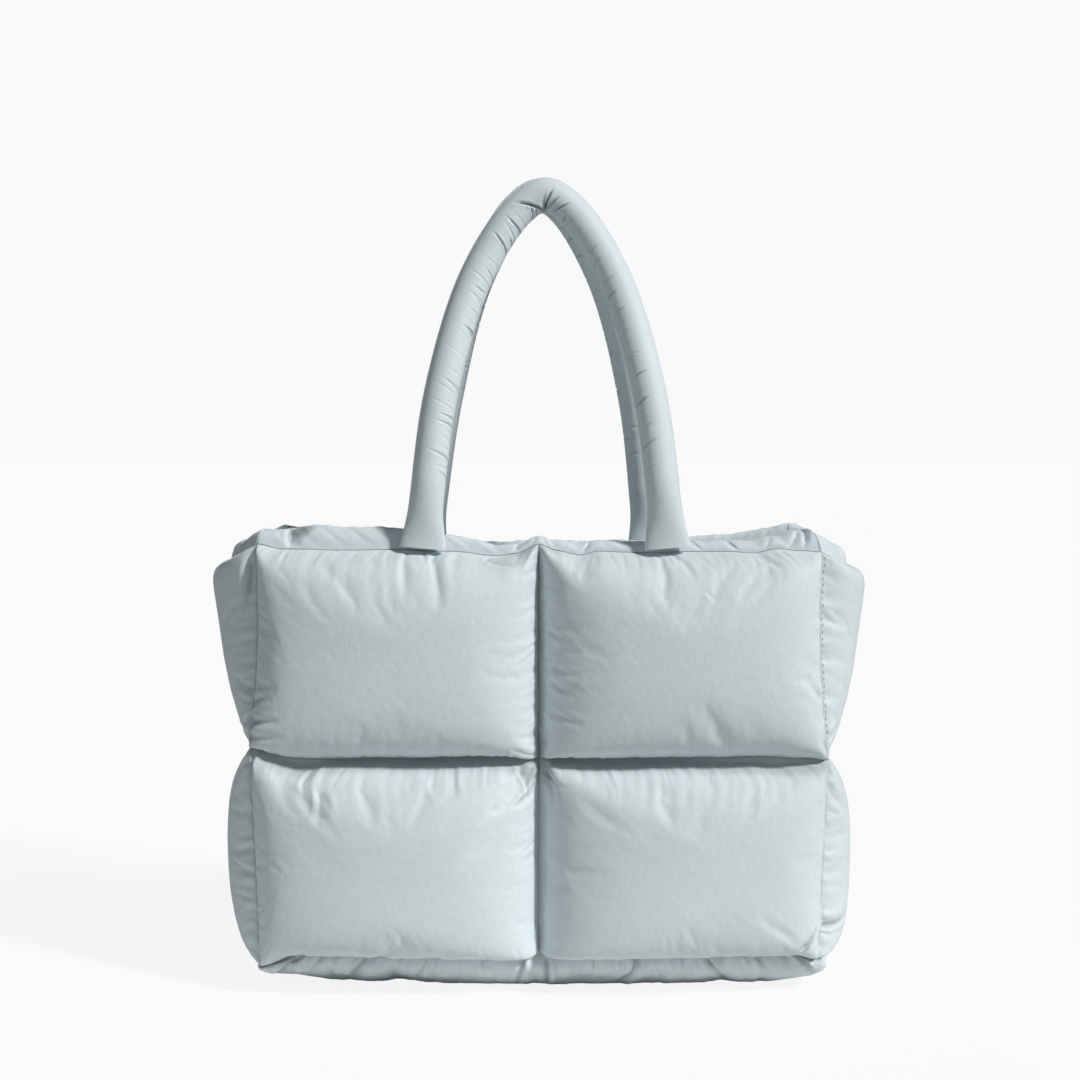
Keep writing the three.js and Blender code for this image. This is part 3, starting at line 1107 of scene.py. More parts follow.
# The right-hand flanks take fainter painted seam shade than the left-hand ones, as the key lamp lights the
# right side.
LEFT_FLANK = PadEdge(EdgeKind.SLOPED, TIGHT)
RIGHT_FLANK = PadEdge(EdgeKind.SHALLOW, FAINT)
BASE_GROOVE = Groove(OPEN_LIPS, 0.9 * MM)
BASE_EDGES = Edges(
    PadEdge(EdgeKind.DEEP),
    PadEdge(EdgeKind.FULL),
    PadEdge(EdgeKind.DEEP, BASE_GROOVE),
    PadEdge(EdgeKind.DEEP, BASE_GROOVE),
)
UPPER_MIDDLE_LIPS = lips((0.0, 0.5), (0.12, 1.2), (0.9, 1.0), (1.0, 0.5))
LOWER_MIDDLE_LIPS = lips((0.0, 0.6), (0.12, 1.6), (0.85, 2.0), (1.0, 0.5))
# The grooves between the pads paint shade into the cloth up to the given height over the seam.
MIDDLE_GROOVES = {
    "upper": Groove(UPPER_MIDDLE_LIPS, 0.3 * MM, 8 * MM, 0.28),
    "lower": Groove(LOWER_MIDDLE_LIPS, 0.3 * MM, 8 * MM, 0.2),
}
# Heights up to which painted shade darkens the upper and the lower pads in the waist groove.
UPPER_SHADE = 7 * MM
LOWER_SHADE = 18 * MM
WAIST_GROOVES = {
    "upper_left": Groove(
        lips((0.0, 0.3), (0.12, 0.9), (0.60, 1.1), (0.90, 0.8), (1.0, 0.3)),
        0.3 * MM,
        UPPER_SHADE,
    ),
    "upper_right": Groove(
        lips((0.0, 0.3), (0.06, 0.8), (0.50, 1.1), (0.86, 0.9), (1.0, 0.3)),
        0.3 * MM,
        UPPER_SHADE,
    ),
    "lower_left": Groove(
        lips(
            (0.0, 0.3), (0.07, 0.8), (0.13, 3.6), (0.18, 5.6), (0.23, 4.4), (0.28, 2.0), (0.45, 1.9),
            (0.62, 2.2), (0.90, 2.0), (1.0, 0.3),
        ),
        0.7 * MM,
        LOWER_SHADE,
    ),
    "lower_right": Groove(
        lips((0.0, 0.3), (0.06, 1.4), (0.20, 2.6), (0.60, 3.4), (0.80, 5.6), (0.90, 3.6), (1.0, 0.3)),
        0.5 * MM,
        LOWER_SHADE,
    ),
}
FACE_FOLDS = {
    "upper_left": fold_rows(
        ((0.545, 0.99), (0.55, 0.80), 3.0, 2.2),
        ((0.64, 0.99), (0.665, 0.74), 3.4, 2.6),
        ((0.03, 0.62), (0.12, 0.60), 3.0, 1.8),
        ((0.04, 0.34), (0.12, 0.36), 3.0, 1.8),
    ),
    "upper_right": fold_rows(
        ((0.30, 0.99), (0.31, 0.80), 4.4, 1.2),
        ((0.41, 0.99), (0.43, 0.78), 4.6, 1.4),
        ((0.47, 0.99), (0.55, 0.82), 4.4, 1.0),
        ((0.50, 0.12), (0.47, 0.25), 4.6, 1.0),
        ((0.63, 0.10), (0.55, 0.34), 6.0, 1.8, 2.0),
        ((0.72, 0.16), (0.70, 0.25), 5.0, 0.7, -1.0),
        ((0.97, 0.44), (0.88, 0.52), 4.0, 2.0),
    ),
    "lower_left": fold_rows(
        ((0.15, 0.96), (0.17, 0.76), 5.0, 2.0),
        ((0.655, 0.98), (0.65, 0.88), 3.0, 1.2),
        ((0.72, 0.98), (0.73, 0.86), 3.0, 1.6),
        ((1.0, 1.0), (0.90, 0.84), 7.0, 16.0),
    ),
    "lower_right": fold_rows(
        ((0.0, 1.0), (0.06, 0.86), 5.0, 8.0),
        ((0.93, 0.80), (0.91, 0.66), 3.6, 1.6),
        ((0.20, 0.99), (0.24, 0.88), 3.6, 0.8),
    ),
}
FACE_CREASES = {
    "upper_left": fold_rows(
        ((0.54, 0.985), (0.55, 0.86), 1.4, 0.8, 0.0, 2.0),
        ((0.635, 0.985), (0.665, 0.80), 1.6, 1.2, 1.5, 2.0),
        ((0.825, 0.985), (0.925, 0.945), 1.0, 1.8, 0.0, 2.6),
        ((0.0, 0.22), (0.10, 0.31), 1.8, 2.2, 1.0),
        ((0.0, 0.13), (0.14, 0.21), 1.8, 2.2, 1.0),
        ((0.0, 0.05), (0.16, 0.14), 1.8, 1.8, 1.0),
        ((0.99, 0.03), (0.90, 0.09), 1.6, 2.0),
        ((0.04, 0.68), (0.09, 0.66), 1.6, 1.0),
    ),
    "upper_right": fold_rows(
        ((0.415, 0.985), (0.43, 0.84), 1.6, 0.7),
        ((0.47, 0.985), (0.53, 0.86), 1.4, 0.8, 1.0),
        ((0.56, 0.97), (0.62, 0.88), 1.2, 0.4),
        ((0.57, 0.82), (0.60, 0.78), 0.9, 0.7),
        ((0.78, 0.965), (0.82, 0.91), 1.3, 1.0),
        ((0.97, 0.32), (0.89, 0.44), 1.6, 1.6, 1.5, 1.8),
        ((0.99, 0.05), (0.93, 0.14), 1.5, 1.8, 0.0, 1.8),
        ((0.05, 0.24), (0.16, 0.20), 1.8, 1.2, 1.0),
        ((0.05, 0.46), (0.15, 0.44), 1.8, 1.2, -1.0),
        ((0.05, 0.38), (0.13, 0.33), 1.6, 1.0),
        ((0.04, 0.62), (0.12, 0.58), 1.6, 1.0),
    ),
    "lower_left": fold_rows(
        ((0.235, 0.975), (0.232, 0.86), 1.4, 1.8, -1.2, 1.8),
        ((0.285, 0.87), (0.255, 0.71), 1.7, 1.6, 1.2, 1.8),
        ((0.03, 0.985), (0.035, 0.84), 1.5, 1.8),
        ((0.655, 0.975), (0.65, 0.90), 1.3, 0.6),
        ((0.715, 0.975), (0.73, 0.87), 1.4, 0.8),
        ((0.46, 0.02), (0.56, 0.14), 1.8, 1.4, -1.0, 1.8),
        ((0.60, 0.0), (0.72, 0.10), 1.8, 1.3, -1.0, 1.8),
        ((0.19, 0.03), (0.26, 0.11), 1.6, 1.0),
        ((0.0, 0.08), (0.05, 0.0), 1.6, 1.6),
        ((0.94, 0.965), (0.975, 0.80), 1.2, 3.6, 1.5, 2.4),
        ((0.985, 0.87), (0.91, 0.80), 1.2, 3.0, 0.0, 2.0),
        ((0.975, 0.96), (0.955, 0.86), 1.0, 2.0),
    ),
    "lower_right": fold_rows(
        ((0.01, 0.99), (0.045, 0.78), 1.4, 2.6, 1.2, 2.0),
        ((0.02, 0.94), (0.09, 0.89), 1.2, 1.4),
        ((0.895, 0.10), (1.02, 0.32), 0.8, 6.0),
        ((0.66, 0.0), (0.75, 0.10), 1.8, 0.8),
    ),
}
SIDE_CREASES = {
    "left_upper": fold_rows(
        ((1.0, 0.16), (0.80, 0.10), 1.8, 1.8),
        ((1.0, 0.28), (0.78, 0.40), 1.8, 1.2),
        ((0.985, 0.92), (0.925, 0.64), 1.8, 2.4, 0.0, 1.6),
    ),
    "left_lower": fold_rows(
        ((1.0, 0.56), (0.74, 0.50), 1.8, 1.2, 1.5),
        ((1.0, 0.43), (0.78, 0.50), 1.6, 1.2, 1.5),
        ((1.0, 0.31), (0.80, 0.33), 1.5, 0.8),
        ((1.0, 0.19), (0.86, 0.15), 1.5, 1.0),
        ((1.0, 0.95), (0.86, 0.88), 1.6, 1.2),
    ),
    "right_upper": fold_rows(
        ((0.0, 0.10), (0.20, 0.18), 1.6, 1.4),
        ((0.0, 0.70), (0.16, 0.64), 1.6, 0.8),
    ),
    "right_lower": fold_rows(
        ((0.0, 0.86), (0.24, 0.70), 2.4, 1.2),
        ((0.0, 0.17), (0.30, 0.21), 1.3, 3.2, -1.5, 2.5),
        ((0.0, 0.15), (0.10, 0.12), 1.3, 1.0),
    ),
}
BASE_CREASES = fold_rows(
    ((0.075, 1.0), (0.04, 0.82), 1.5, 3.0, 0.0, 2.2),
    ((0.125, 1.0), (0.10, 0.86), 1.4, 1.6),
    ((0.20, 1.0), (0.165, 0.82), 1.5, 3.0, 0.0, 2.2),
    ((0.31, 1.0), (0.285, 0.86), 1.5, 1.8),
    ((0.40, 1.0), (0.41, 0.88), 1.4, 1.4),
    ((0.475, 1.0), (0.46, 0.80), 1.5, 2.6, 0.0, 0.5),
    ((0.512, 1.0), (0.515, 0.80), 1.6, 3.4),
    ((0.60, 1.0), (0.585, 0.88), 1.4, 1.4),
    ((0.675, 1.0), (0.632, 0.80), 1.5, 3.2, 0.0, 2.0),
    ((0.79, 1.0), (0.83, 0.80), 1.5, 3.0, 0.0, 0.5),
    ((0.88, 1.0), (0.90, 0.86), 1.4, 1.8),
    ((0.955, 1.0), (0.975, 0.82), 1.4, 2.2),
)
FACE_PUCKERS = Puckers()
SIDE_PUCKERS = Puckers(spacing=(9 * MM, 40 * MM), reach=(5 * MM, 16 * MM), depth=(0.1 * MM, 0.5 * MM))
BASE_PUCKERS = Puckers(spacing=(8 * MM, 26 * MM), reach=(8 * MM, 22 * MM), depth=(0.3 * MM, 1.2 * MM))
FACE_ROWS = (("lower", Level.BASE, Level.WAIST), ("upper", Level.WAIST, Level.RIM))
SIDE_NAMES = ((-1, "left"), (1, "right"))
FACE_NAMES = ((-1, "front"), (1, "back"))
SIDE_SEEDS = 20
BASE_SEED = 31


class PaddedBody:
    """The pads of the bag: two rows of two on the front and back, two on each end, and the base."""

    def __init__(self) -> None:
        """Lists every pad with its seams, stuffing and folds."""
        self.pads: list[Pad] = [*self._face_pads(), *self._side_pads(), self._base_pad()]

    @staticmethod
    def _face_pads() -> list[Pad]:
        """Returns the pads of the front and the back."""
        pads = []
        for face, face_name in FACE_NAMES:
            for row, low, high in FACE_ROWS:
                for side, side_name in SIDE_NAMES:
                    first = side if side * face > 0 else 0
                    last = side - first
                    patch = Patch(
                        left=SeamNet.upright(first, face, low, high),
                        right=SeamNet.upright(last, face, low, high),
                        bottom=SeamNet.across_face(face, first, last, low),
                        top=SeamNet.across_face(face, first, last, high),
                        outward=np.array([0.0, float(face), 0.0]),
                    )
                    part = f"{row}_{side_name}"
                    waist, folds, creases = WAIST_GROOVES[part], FACE_FOLDS[part], FACE_CREASES[part]
                    if face > 0:
                        waist = waist.mirrored()
                        folds = tuple(fold.mirrored() for fold in folds)
                        creases = tuple(fold.mirrored() for fold in creases)
                    flank = LEFT_FLANK if side < 0 else RIGHT_FLANK
                    middle = PadEdge(EdgeKind.SLOPED if side > 0 else EdgeKind.DEEP, MIDDLE_GROOVES[row])
                    at_waist = PadEdge(EdgeKind.DEEP if high is Level.RIM else EdgeKind.STEEP, waist)
                    edges = Edges(
                        left=middle if first == 0 else flank,
                        right=middle if last == 0 else flank,
                        bottom=PadEdge(EdgeKind.BLUNT) if low is Level.BASE else at_waist,
                        top=PadEdge(EdgeKind.SHALLOW, RIM_GROOVE) if high is Level.RIM else at_waist,
                    )
                    pads.append(
                        Pad(
                            f"{face_name}_pad_{part}",
                            patch,
                            FACE_STUFFING[row],
                            edges,
                            folds,
                            creases,
                            FACE_PUCKERS,
                            len(pads),
                            FINE_STEP if face < 0 else PLAIN_STEP,
                            MIDDLE_FULLNESS if last == 0 else -MIDDLE_FULLNESS,
                        )
                    )
        return pads

    @staticmethod
    def _side_pads() -> list[Pad]:
        """Returns the pads of both ends."""
        pads = []
        for side, side_name in SIDE_NAMES:
            for row, low, high in FACE_ROWS:
                patch = Patch(
                    left=SeamNet.upright(side, -side, low, high),
                    right=SeamNet.upright(side, side, low, high),
                    bottom=SeamNet.across_side(side, -side, side, low),
                    top=SeamNet.across_side(side, -side, side, high),
                    outward=np.array([float(side), 0.0, 0.0]),
                )
                node = f"{side_name}_side_pad_{row}"
                part = f"{side_name}_{row}"
                creases = SIDE_CREASES[part]
                kinds = SIDE_KINDS[part]
                # The right end's corner seams take fainter painted shade, as the key lamp lights that side.
                flank = PadEdge(kinds.flanks, OPEN if side < 0 else OPEN_FAINT)
                edges = Edges(flank, flank, PadEdge(kinds.bottom), PadEdge(kinds.top))
                stuffing, seed = SIDE_STUFFING[row], SIDE_SEEDS + len(pads)
                pads.append(Pad(node, patch, stuffing, edges, (), creases, SIDE_PUCKERS, seed, FINE_STEP))
        return pads

    @staticmethod
    def _base_pad() -> Pad:
        """Returns the pad under the bag."""
        patch = Patch(
            left=SeamNet.across_side(-1, 1, -1, Level.BASE),
            right=SeamNet.across_side(1, 1, -1, Level.BASE),
            bottom=SeamNet.whole_face(1, -1, Level.BASE),
            top=SeamNet.whole_face(-1, -1, Level.BASE),
            outward=np.array([0.0, 0.0, -1.0]),
            seam_reach=BASE_NORMAL_REACH,
        )
        return Pad(
            "base_pad",
            patch,
            BASE_STUFFING,
            BASE_EDGES,
            (),
            BASE_CREASES,
            BASE_PUCKERS,
            BASE_SEED,
            FINE_STEP,
        )

    def build(self, finish: "FabricFinish") -> None:
        """Puffs all the pads up together and dresses them.

        Args:
            finish: the cloth that they are made of.
        """
        for pad in self.pads:
            pad.build_skin()
        for pad in self.pads:
            pad.add_cloth()
        scene = bpy.context.scene
        scene.frame_start, scene.frame_end = 1, CLOTH_RUN.frames
        for frame in range(1, CLOTH_RUN.frames + 1):
            scene.frame_set(frame)
        for pad in self.pads:
            pad.settle()
            pad.crease()
            piece = pad.close()
            finish.dress(piece)
            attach(piece, BODY)
            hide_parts(pad.node)
            LOG.info("%s: %d faces", piece.name, len(piece.data.polygons))


@dataclass(frozen=True)
class FabricFinish:
    """Matte brushed nylon.

    Attributes:
        name: name of the material.
        light: colour of the cloth where it is brightest.
        dark: colour of its faint darker clouds.
        roughness: roughness of the threads.
        sheen: strength of the soft glow at grazing angles.
        streak: width and length of the brushed streaks, along u and v.
        streak_shade: how much darker the darkest streaks are.
        streak_depth: relief of the streaks.
        thread_depth: relief of the fine threads.
        crinkle_depth: relief of the small crinkles.
        crevice_shade: how much the painted shade darkens the deepest crevices.
    """

    name: str
    light: tuple[float, float, float]
    dark: tuple[float, float, float]
    roughness: float = 0.62
    sheen: float = 0.12
    streak: tuple[float, float] = (1.1 * MM, 9.0 * MM)
    streak_shade: float = 0.03
    streak_depth: float = 0.045 * MM
    thread_depth: float = 0.06 * MM
    crinkle_depth: float = 0.08 * MM
    crevice_shade: float = 0.6

    CLOUD_SIZE = 70 * MM
    CRINKLE_SIZE = 4.5 * MM
    THREAD_SIZE = 0.9 * MM
    NOISE_DETAIL = 3.0
    STREAK_RANGE = (0.3, 0.7)
    SHEEN_ROUGHNESS = 0.45
    SPECULAR = 0.35

    def material(self) -> bpy.types.Material:
        """Returns the material, made once."""
        known = bpy.data.materials.get(self.name)
        return known if known else self._make()

    def _noise(self, tree: Tree, coordinate: str, size: tuple) -> Node:
        """Adds a noise whose grains measure size along the axes of a coordinate.

        Args:
            tree: nodes of the material.
            coordinate: name of the coordinate.
            size: size of the grains along its three axes.

        Returns:
            The noise node.
        """
        place = tree.nodes.new("ShaderNodeTexCoord")
        stretch = tree.nodes.new("ShaderNodeMapping")
        stretch.inputs["Scale"].default_value = [1 / side for side in size]
        noise = tree.nodes.new("ShaderNodeTexNoise")
        noise.inputs["Scale"].default_value = 1.0
        noise.inputs["Detail"].default_value = self.NOISE_DETAIL
        tree.links.new(place.outputs[coordinate], stretch.inputs["Vector"])
        tree.links.new(stretch.outputs["Vector"], noise.inputs["Vector"])
        return noise

    def _make(self) -> bpy.types.Material:
        """Builds the material with its colour and relief."""
        material = bpy.data.materials.new(self.name)
        material.use_nodes = True
        tree = material.node_tree
        shader = tree.nodes["Principled BSDF"]
        shader.inputs["Roughness"].default_value = self.roughness
        shader.inputs["Sheen Weight"].default_value = self.sheen
        shader.inputs["Sheen Roughness"].default_value = self.SHEEN_ROUGHNESS
        shader.inputs["Specular IOR Level"].default_value = self.SPECULAR
        streaks = self._noise(tree, "UV", (*self.streak, 1.0))
        self._add_colour(tree, shader, streaks)
        self._add_relief(tree, shader, streaks)
        return material

    def _add_colour(self, tree: Tree, shader: Node, streaks: Node) -> None:
        """Colours the cloth with faint clouds, brushed streaks and painted shade in its crevices.

        Args:
            tree: nodes of the material.
            shader: the shader that takes the colour.
            streaks: the noise of the streaks.
        """
        clouds = self._noise(tree, "Object", (self.CLOUD_SIZE,) * 3)
        colour = tree.nodes.new("ShaderNodeMix")
        colour.data_type = "RGBA"
        colour.inputs["A"].default_value = (*self.dark, 1.0)
        colour.inputs["B"].default_value = (*self.light, 1.0)
        tree.links.new(clouds.outputs["Fac"], colour.inputs["Factor"])
        shade = tree.nodes.new("ShaderNodeMapRange")
        shade.inputs["From Min"].default_value = self.STREAK_RANGE[0]
        shade.inputs["From Max"].default_value = self.STREAK_RANGE[1]
        shade.inputs["To Min"].default_value = 1 - self.streak_shade
        shade.inputs["To Max"].default_value = 1 + self.streak_shade
        tree.links.new(streaks.outputs["Fac"], shade.inputs["Value"])
        # Painted shade: the stored attribute darkens the colour in creases and grooves.
        painted_crevice_shade = tree.nodes.new("ShaderNodeAttribute")
        painted_crevice_shade.attribute_name = PAINTED_SHADE
        painted_shade_factor = tree.nodes.new("ShaderNodeMapRange")
        painted_shade_factor.inputs["To Min"].default_value = 1.0
        painted_shade_factor.inputs["To Max"].default_value = 1 - self.crevice_shade
        tree.links.new(painted_crevice_shade.outputs["Fac"], painted_shade_factor.inputs["Value"])
        both = tree.nodes.new("ShaderNodeMath")
        both.operation = "MULTIPLY"
        tree.links.new(shade.outputs["Result"], both.inputs[0])
        tree.links.new(painted_shade_factor.outputs["Result"], both.inputs[1])
        # The colour times the streaks' tone and the painted shade.
        brushed = tree.nodes.new("ShaderNodeVectorMath")
        brushed.operation = "SCALE"
        tree.links.new(colour.outputs["Result"], brushed.inputs["Vector"])
        tree.links.new(both.outputs["Value"], brushed.inputs["Scale"])
        tree.links.new(brushed.outputs["Vector"], shader.inputs["Base Color"])

    def _add_relief(self, tree: Tree, shader: Node, streaks: Node) -> None:
        """Roughens the cloth with small crinkles, the streaks and fine threads.

        Args:
            tree: nodes of the material.
            shader: the shader that takes the relief.
            streaks: the noise of the streaks.
        """
        crinkles = self._noise(tree, "Object", (self.CRINKLE_SIZE,) * 3)
        threads = self._noise(tree, "UV", (self.THREAD_SIZE,) * 3)
        noises = (crinkles, streaks, threads)
        depths = (self.crinkle_depth, self.streak_depth, self.thread_depth)
        last = None
        for noise, depth in zip(noises, depths):
            bump = tree.nodes.new("ShaderNodeBump")
            bump.inputs["Distance"].default_value = depth
            bump.inputs["Strength"].default_value = 1.0
            tree.links.new(noise.outputs["Fac"], bump.inputs["Height"])
            if last is not None:
                tree.links.new(last.outputs["Normal"], bump.inputs["Normal"])
            last = bump
        tree.links.new(last.outputs["Normal"], shader.inputs["Normal"])

    def dress(self, piece: Thing) -> None:
        """Gives a piece this cloth."""
        piece.data.materials.clear()
        piece.data.materials.append(self.material())


PAD_CLOTH = FabricFinish("pale_blue_nylon", (0.665, 0.745, 0.775), (0.615, 0.70, 0.735))
FACING_CLOTH = FabricFinish("pale_blue_nylon_single", (0.655, 0.735, 0.77), (0.605, 0.69, 0.73))
RUN_STEPS = 60
KNOT_POWER = 0.5


def smooth_path(knots: Array, steps: int) -> Array:
    """Runs a smooth curve through points and measures it off evenly.

    Args:
        knots: the points, a row each.
        steps: how many even steps to cut the curve into.

    Returns:
        steps + 1 points along the curve.
    """
    around = [2 * knots[0] - knots[1], *knots, 2 * knots[-1] - knots[-2]]
    share = np.linspace(0, 1, RUN_STEPS, endpoint=False)[:, None]
    runs = []
    for before, start, end, after in zip(around, around[1:], around[2:], around[3:]):
        near = np.linalg.norm(start - before) ** KNOT_POWER
        own = np.linalg.norm(end - start) ** KNOT_POWER
        far = np.linalg.norm(after - end) ** KNOT_POWER
        leave = own * ((start - before) / near - (end - before) / (near + own) + (end - start) / own)
        arrive = own * ((end - start) / own - (after - start) / (own + far) + (after - end) / far)
        runs.append(
            start * (2 * share**3 - 3 * share**2 + 1)
            + leave * (share**3 - 2 * share**2 + share)
            + end * (3 * share**2 - 2 * share**3)
            + arrive * (share**3 - share**2)
        )
    curve = np.vstack([*runs, knots[-1:]])
    walked = np.concatenate([[0], np.cumsum(np.linalg.norm(np.diff(curve, axis=0), axis=1))])
    even = np.linspace(0, walked[-1], steps + 1)
    return np.stack([np.interp(even, walked, curve[:, axis]) for axis in range(3)], axis=1)


@dataclass(frozen=True)
class ArchPoint:
    """A point of a handle's middle line.

    Attributes:
        half_span: its distance from the handle's middle.
        rise: its height over the feet.
        lean: how far it leans to the other handle, as a share.
    """

    half_span: float
    rise: float
    lean: float


@dataclass(frozen=True)
class Crimp:
    """A crease across the inner side of a handle.

    Attributes:
        along: its place along the handle, from the peak.
        depth: how deep it is.
        half_width: half its width.
        turn: where round the tube its middle lies, in degrees from the inner side towards the outside.
        reach: how far round the tube it goes to either side of that, in degrees.
        fan: how far it slants along the handle in a quarter turn.
    """

    along: float
    depth: float
    half_width: float
    turn: float
    reach: float
    fan: float


HANDLE_ARCH = (
    ArchPoint(0.0785, 0.0, 0.0),
    ArchPoint(0.0755, 0.035, 0.02),
    ArchPoint(0.0665, 0.103, 0.3),
    ArchPoint(0.0445, 0.178, 0.76),
    ArchPoint(0.016, 0.223, 0.98),
    ArchPoint(0.0, 0.232, 1.0),
)
CRIMP_RARITY = 2.0
CRIMP_FADE = 0.7
PEAK_CRIMPS = (
    Crimp(-2.0 * MM, 3.6 * MM, 0.9 * MM, 40, 62, -15 * MM),
    Crimp(0.5 * MM, 3.2 * MM, 0.8 * MM, 45, 50, 3 * MM),
    Crimp(3.0 * MM, 1.6 * MM, 0.7 * MM, 55, 32, 7 * MM),
    Crimp(9.0 * MM, 1.8 * MM, 0.7 * MM, 62, 30, 9 * MM),
    Crimp(0.0, 2.4 * MM, 3.0 * MM, 0, 60, 0),
)


@dataclass(frozen=True)
class LegCrimps:
    """How the creases of one leg of a handle are drawn.

    Attributes:
        spacing: least and greatest distance between them.
        depth: least and greatest depth.
        turn: least and greatest place of their middle round the tube, in degrees.
        reach: least and greatest reach round the tube, in degrees.
        fan: least and greatest slant towards the foot in a quarter turn.
    """

    spacing: tuple[float, float]
    depth: tuple[float, float]
    turn: tuple[float, float]
    reach: tuple[float, float]
    fan: tuple[float, float]


LEFT_LEG = LegCrimps((2.5 * MM, 10 * MM), (0.2 * MM, 1.6 * MM), (10, 55), (22, 66), (0, 7 * MM))
RIGHT_LEG = LegCrimps((3 * MM, 14 * MM), (0.15 * MM, 1.8 * MM), (25, 70), (14, 40), (0, 8 * MM))
BACK_LEG = LegCrimps((3 * MM, 10 * MM), (0.2 * MM, 1.3 * MM), (-50, -5), (16, 50), (-3 * MM, 5 * MM))


@dataclass
class StuffedHandle:
    """A stuffed tube sewn to the rim at both feet, with a kink under its peak.

    Attributes:
        name: front or back.
        face: -1 front, 1 back.
        seed: number that sets its crimps.
        offset: how far right of the bag's middle it is sewn on.
        radius: radius of the tube.
        foot_half_width: half the width of its pressed feet.
        foot_half_thickness: half their thickness.
        foot_length: length over which the tube is pressed flat.
        foot_lift: height of the feet over the rim seam.
        peak_height: height of its middle line over the floor.
        narrowing: share by which it is narrower than its arch.
        left_splay: how far its left foot stands outwards.
        splay_height: height at which that splay ends.
        facing_room: room left for the facing behind its feet.
        peak_clearance: how far it stays from the other handle.
        first_crimp: distance of the first drawn crimp from the peak.
        crimp_half_width: least and greatest half width of the drawn crimps.
        sides: faces round the tube.
        step: length of its faces.
    """

    name: str
    face: int
    seed: int
    offset: float = 4 * MM
    radius: float = 11 * MM
    foot_half_width: float = 14.5 * MM
    foot_half_thickness: float = 4 * MM
    foot_length: float = 46 * MM
    foot_lift: float = 1.5 * MM
    peak_height: float = 0.5206
    narrowing: float = 0.0
    left_splay: float = 0.0
    splay_height: float = 0.1
    facing_room: float = 1.5 * MM
    peak_clearance: float = 0.2 * MM
    first_crimp: float = 15 * MM
    crimp_half_width: tuple[float, float] = (0.5 * MM, 0.75 * MM)
    sides: int = 52
    step: float = 0.5 * MM

    CREST_HEIGHT = 0.28
    CREST_PLACE = 2.2
    WINDOW_POWER = 4
    QUARTER_TURN = 90
    INNER_SIDE = 1.5 * math.pi
    DEEPEST_DENT = 0.4
    FOOT_FLARE = 3
    ROUGH_STEPS = 200
    WELD_REACH = 0.01 * MM

    def path(self, steps: int) -> Array:
        """Returns the handle's middle line in even steps."""
        rim = LEVEL_SIZES[Level.RIM]
        foot_depth = rim.half_depth + self.facing_room + self.foot_half_thickness
        peak_depth = self.radius + self.peak_clearance
        seam = SeamNet.across_face(self.face, -1, 0, Level.RIM)
        foot_share = 1 - HANDLE_ARCH[0].half_span / rim.half_width
        foot_height = seam.at(foot_share)[2] + self.foot_lift
        rise = (self.peak_height - foot_height) / HANDLE_ARCH[-1].rise
        rising = [(self.face, row) for row in HANDLE_ARCH]
        falling = [(-self.face, row) for row in reversed(HANDLE_ARCH[:-1])]
        knots = [
            (
                self.offset
                + side * row.half_span * (1 - self.narrowing)
                - (self.left_splay * max(0.0, 1 - row.rise / self.splay_height) if side < 0 else 0.0),
                self.face * (foot_depth + (peak_depth - foot_depth) * row.lean),
                foot_height + row.rise * rise,
            )
            for side, row in rising + falling
        ]
        return smooth_path(np.array(knots), steps)

    def crimps(self, length: float) -> list[Crimp]:
        """Returns the creases of both legs and of the peak."""
        draw = np.random.default_rng(self.seed)
        found = list(PEAK_CRIMPS)
        legs = (LEFT_LEG, RIGHT_LEG) if self.face < 0 else (BACK_LEG, BACK_LEG)
        for leg, rows in zip((-1, 1), legs):
            place = self.first_crimp
            while place < length / 2 - self.foot_length:
                low, high = rows.depth
                fade = 1 - CRIMP_FADE * (2 * place / length) ** 2
                found.append(
                    Crimp(
                        leg * place,
                        low + (high - low) * draw.uniform() ** CRIMP_RARITY * fade,
                        draw.uniform(*self.crimp_half_width),
                        draw.uniform(*rows.turn),
                        draw.uniform(*rows.reach),
                        -leg * draw.uniform(*rows.fan),
                    )
                )
                place += draw.uniform(*rows.spacing)
        return found

    def _dents(self, along: Array, angle: Array, length: float) -> Array:
        """Works out how deep the creases press the tube in.

        Args:
            along: place of each vertex along the handle, from the peak.
            angle: its place round the tube.
            length: length of the handle.

        Returns:
            The depth at each vertex.
        """
        turn = np.degrees((angle - self.INNER_SIDE + math.pi) % (2 * math.pi) - math.pi)
        dent = np.zeros_like(along)
        for crimp in self.crimps(length):
            slant = crimp.fan * turn / self.QUARTER_TURN
            across = np.abs(along - crimp.along - slant) / crimp.half_width
            window = np.exp(-(((turn - crimp.turn) / crimp.reach) ** self.WINDOW_POWER))
            crest = self.CREST_HEIGHT * np.exp(-((across - self.CREST_PLACE) ** 2))
            dent += crimp.depth * (np.exp(-across) - crest) * window
        return np.minimum(dent, self.DEEPEST_DENT * self.radius)

    def _close(self, tube: Thing) -> None:
        """Welds the rolled grid to a tube and closes its feet."""
        select_only(tube)
        bpy.ops.object.mode_set(mode="EDIT")
        bpy.ops.mesh.select_mode(type="EDGE")
        bpy.ops.mesh.select_all(action="SELECT")
        bpy.ops.mesh.remove_doubles(threshold=self.WELD_REACH)
        bpy.ops.mesh.select_all(action="DESELECT")
        bpy.ops.mesh.select_non_manifold()
        bpy.ops.mesh.edge_face_add()
        bpy.ops.mesh.select_all(action="SELECT")
        bpy.ops.mesh.normals_make_consistent(inside=False)
        bpy.ops.object.mode_set(mode="OBJECT")
        bpy.ops.object.shade_smooth()

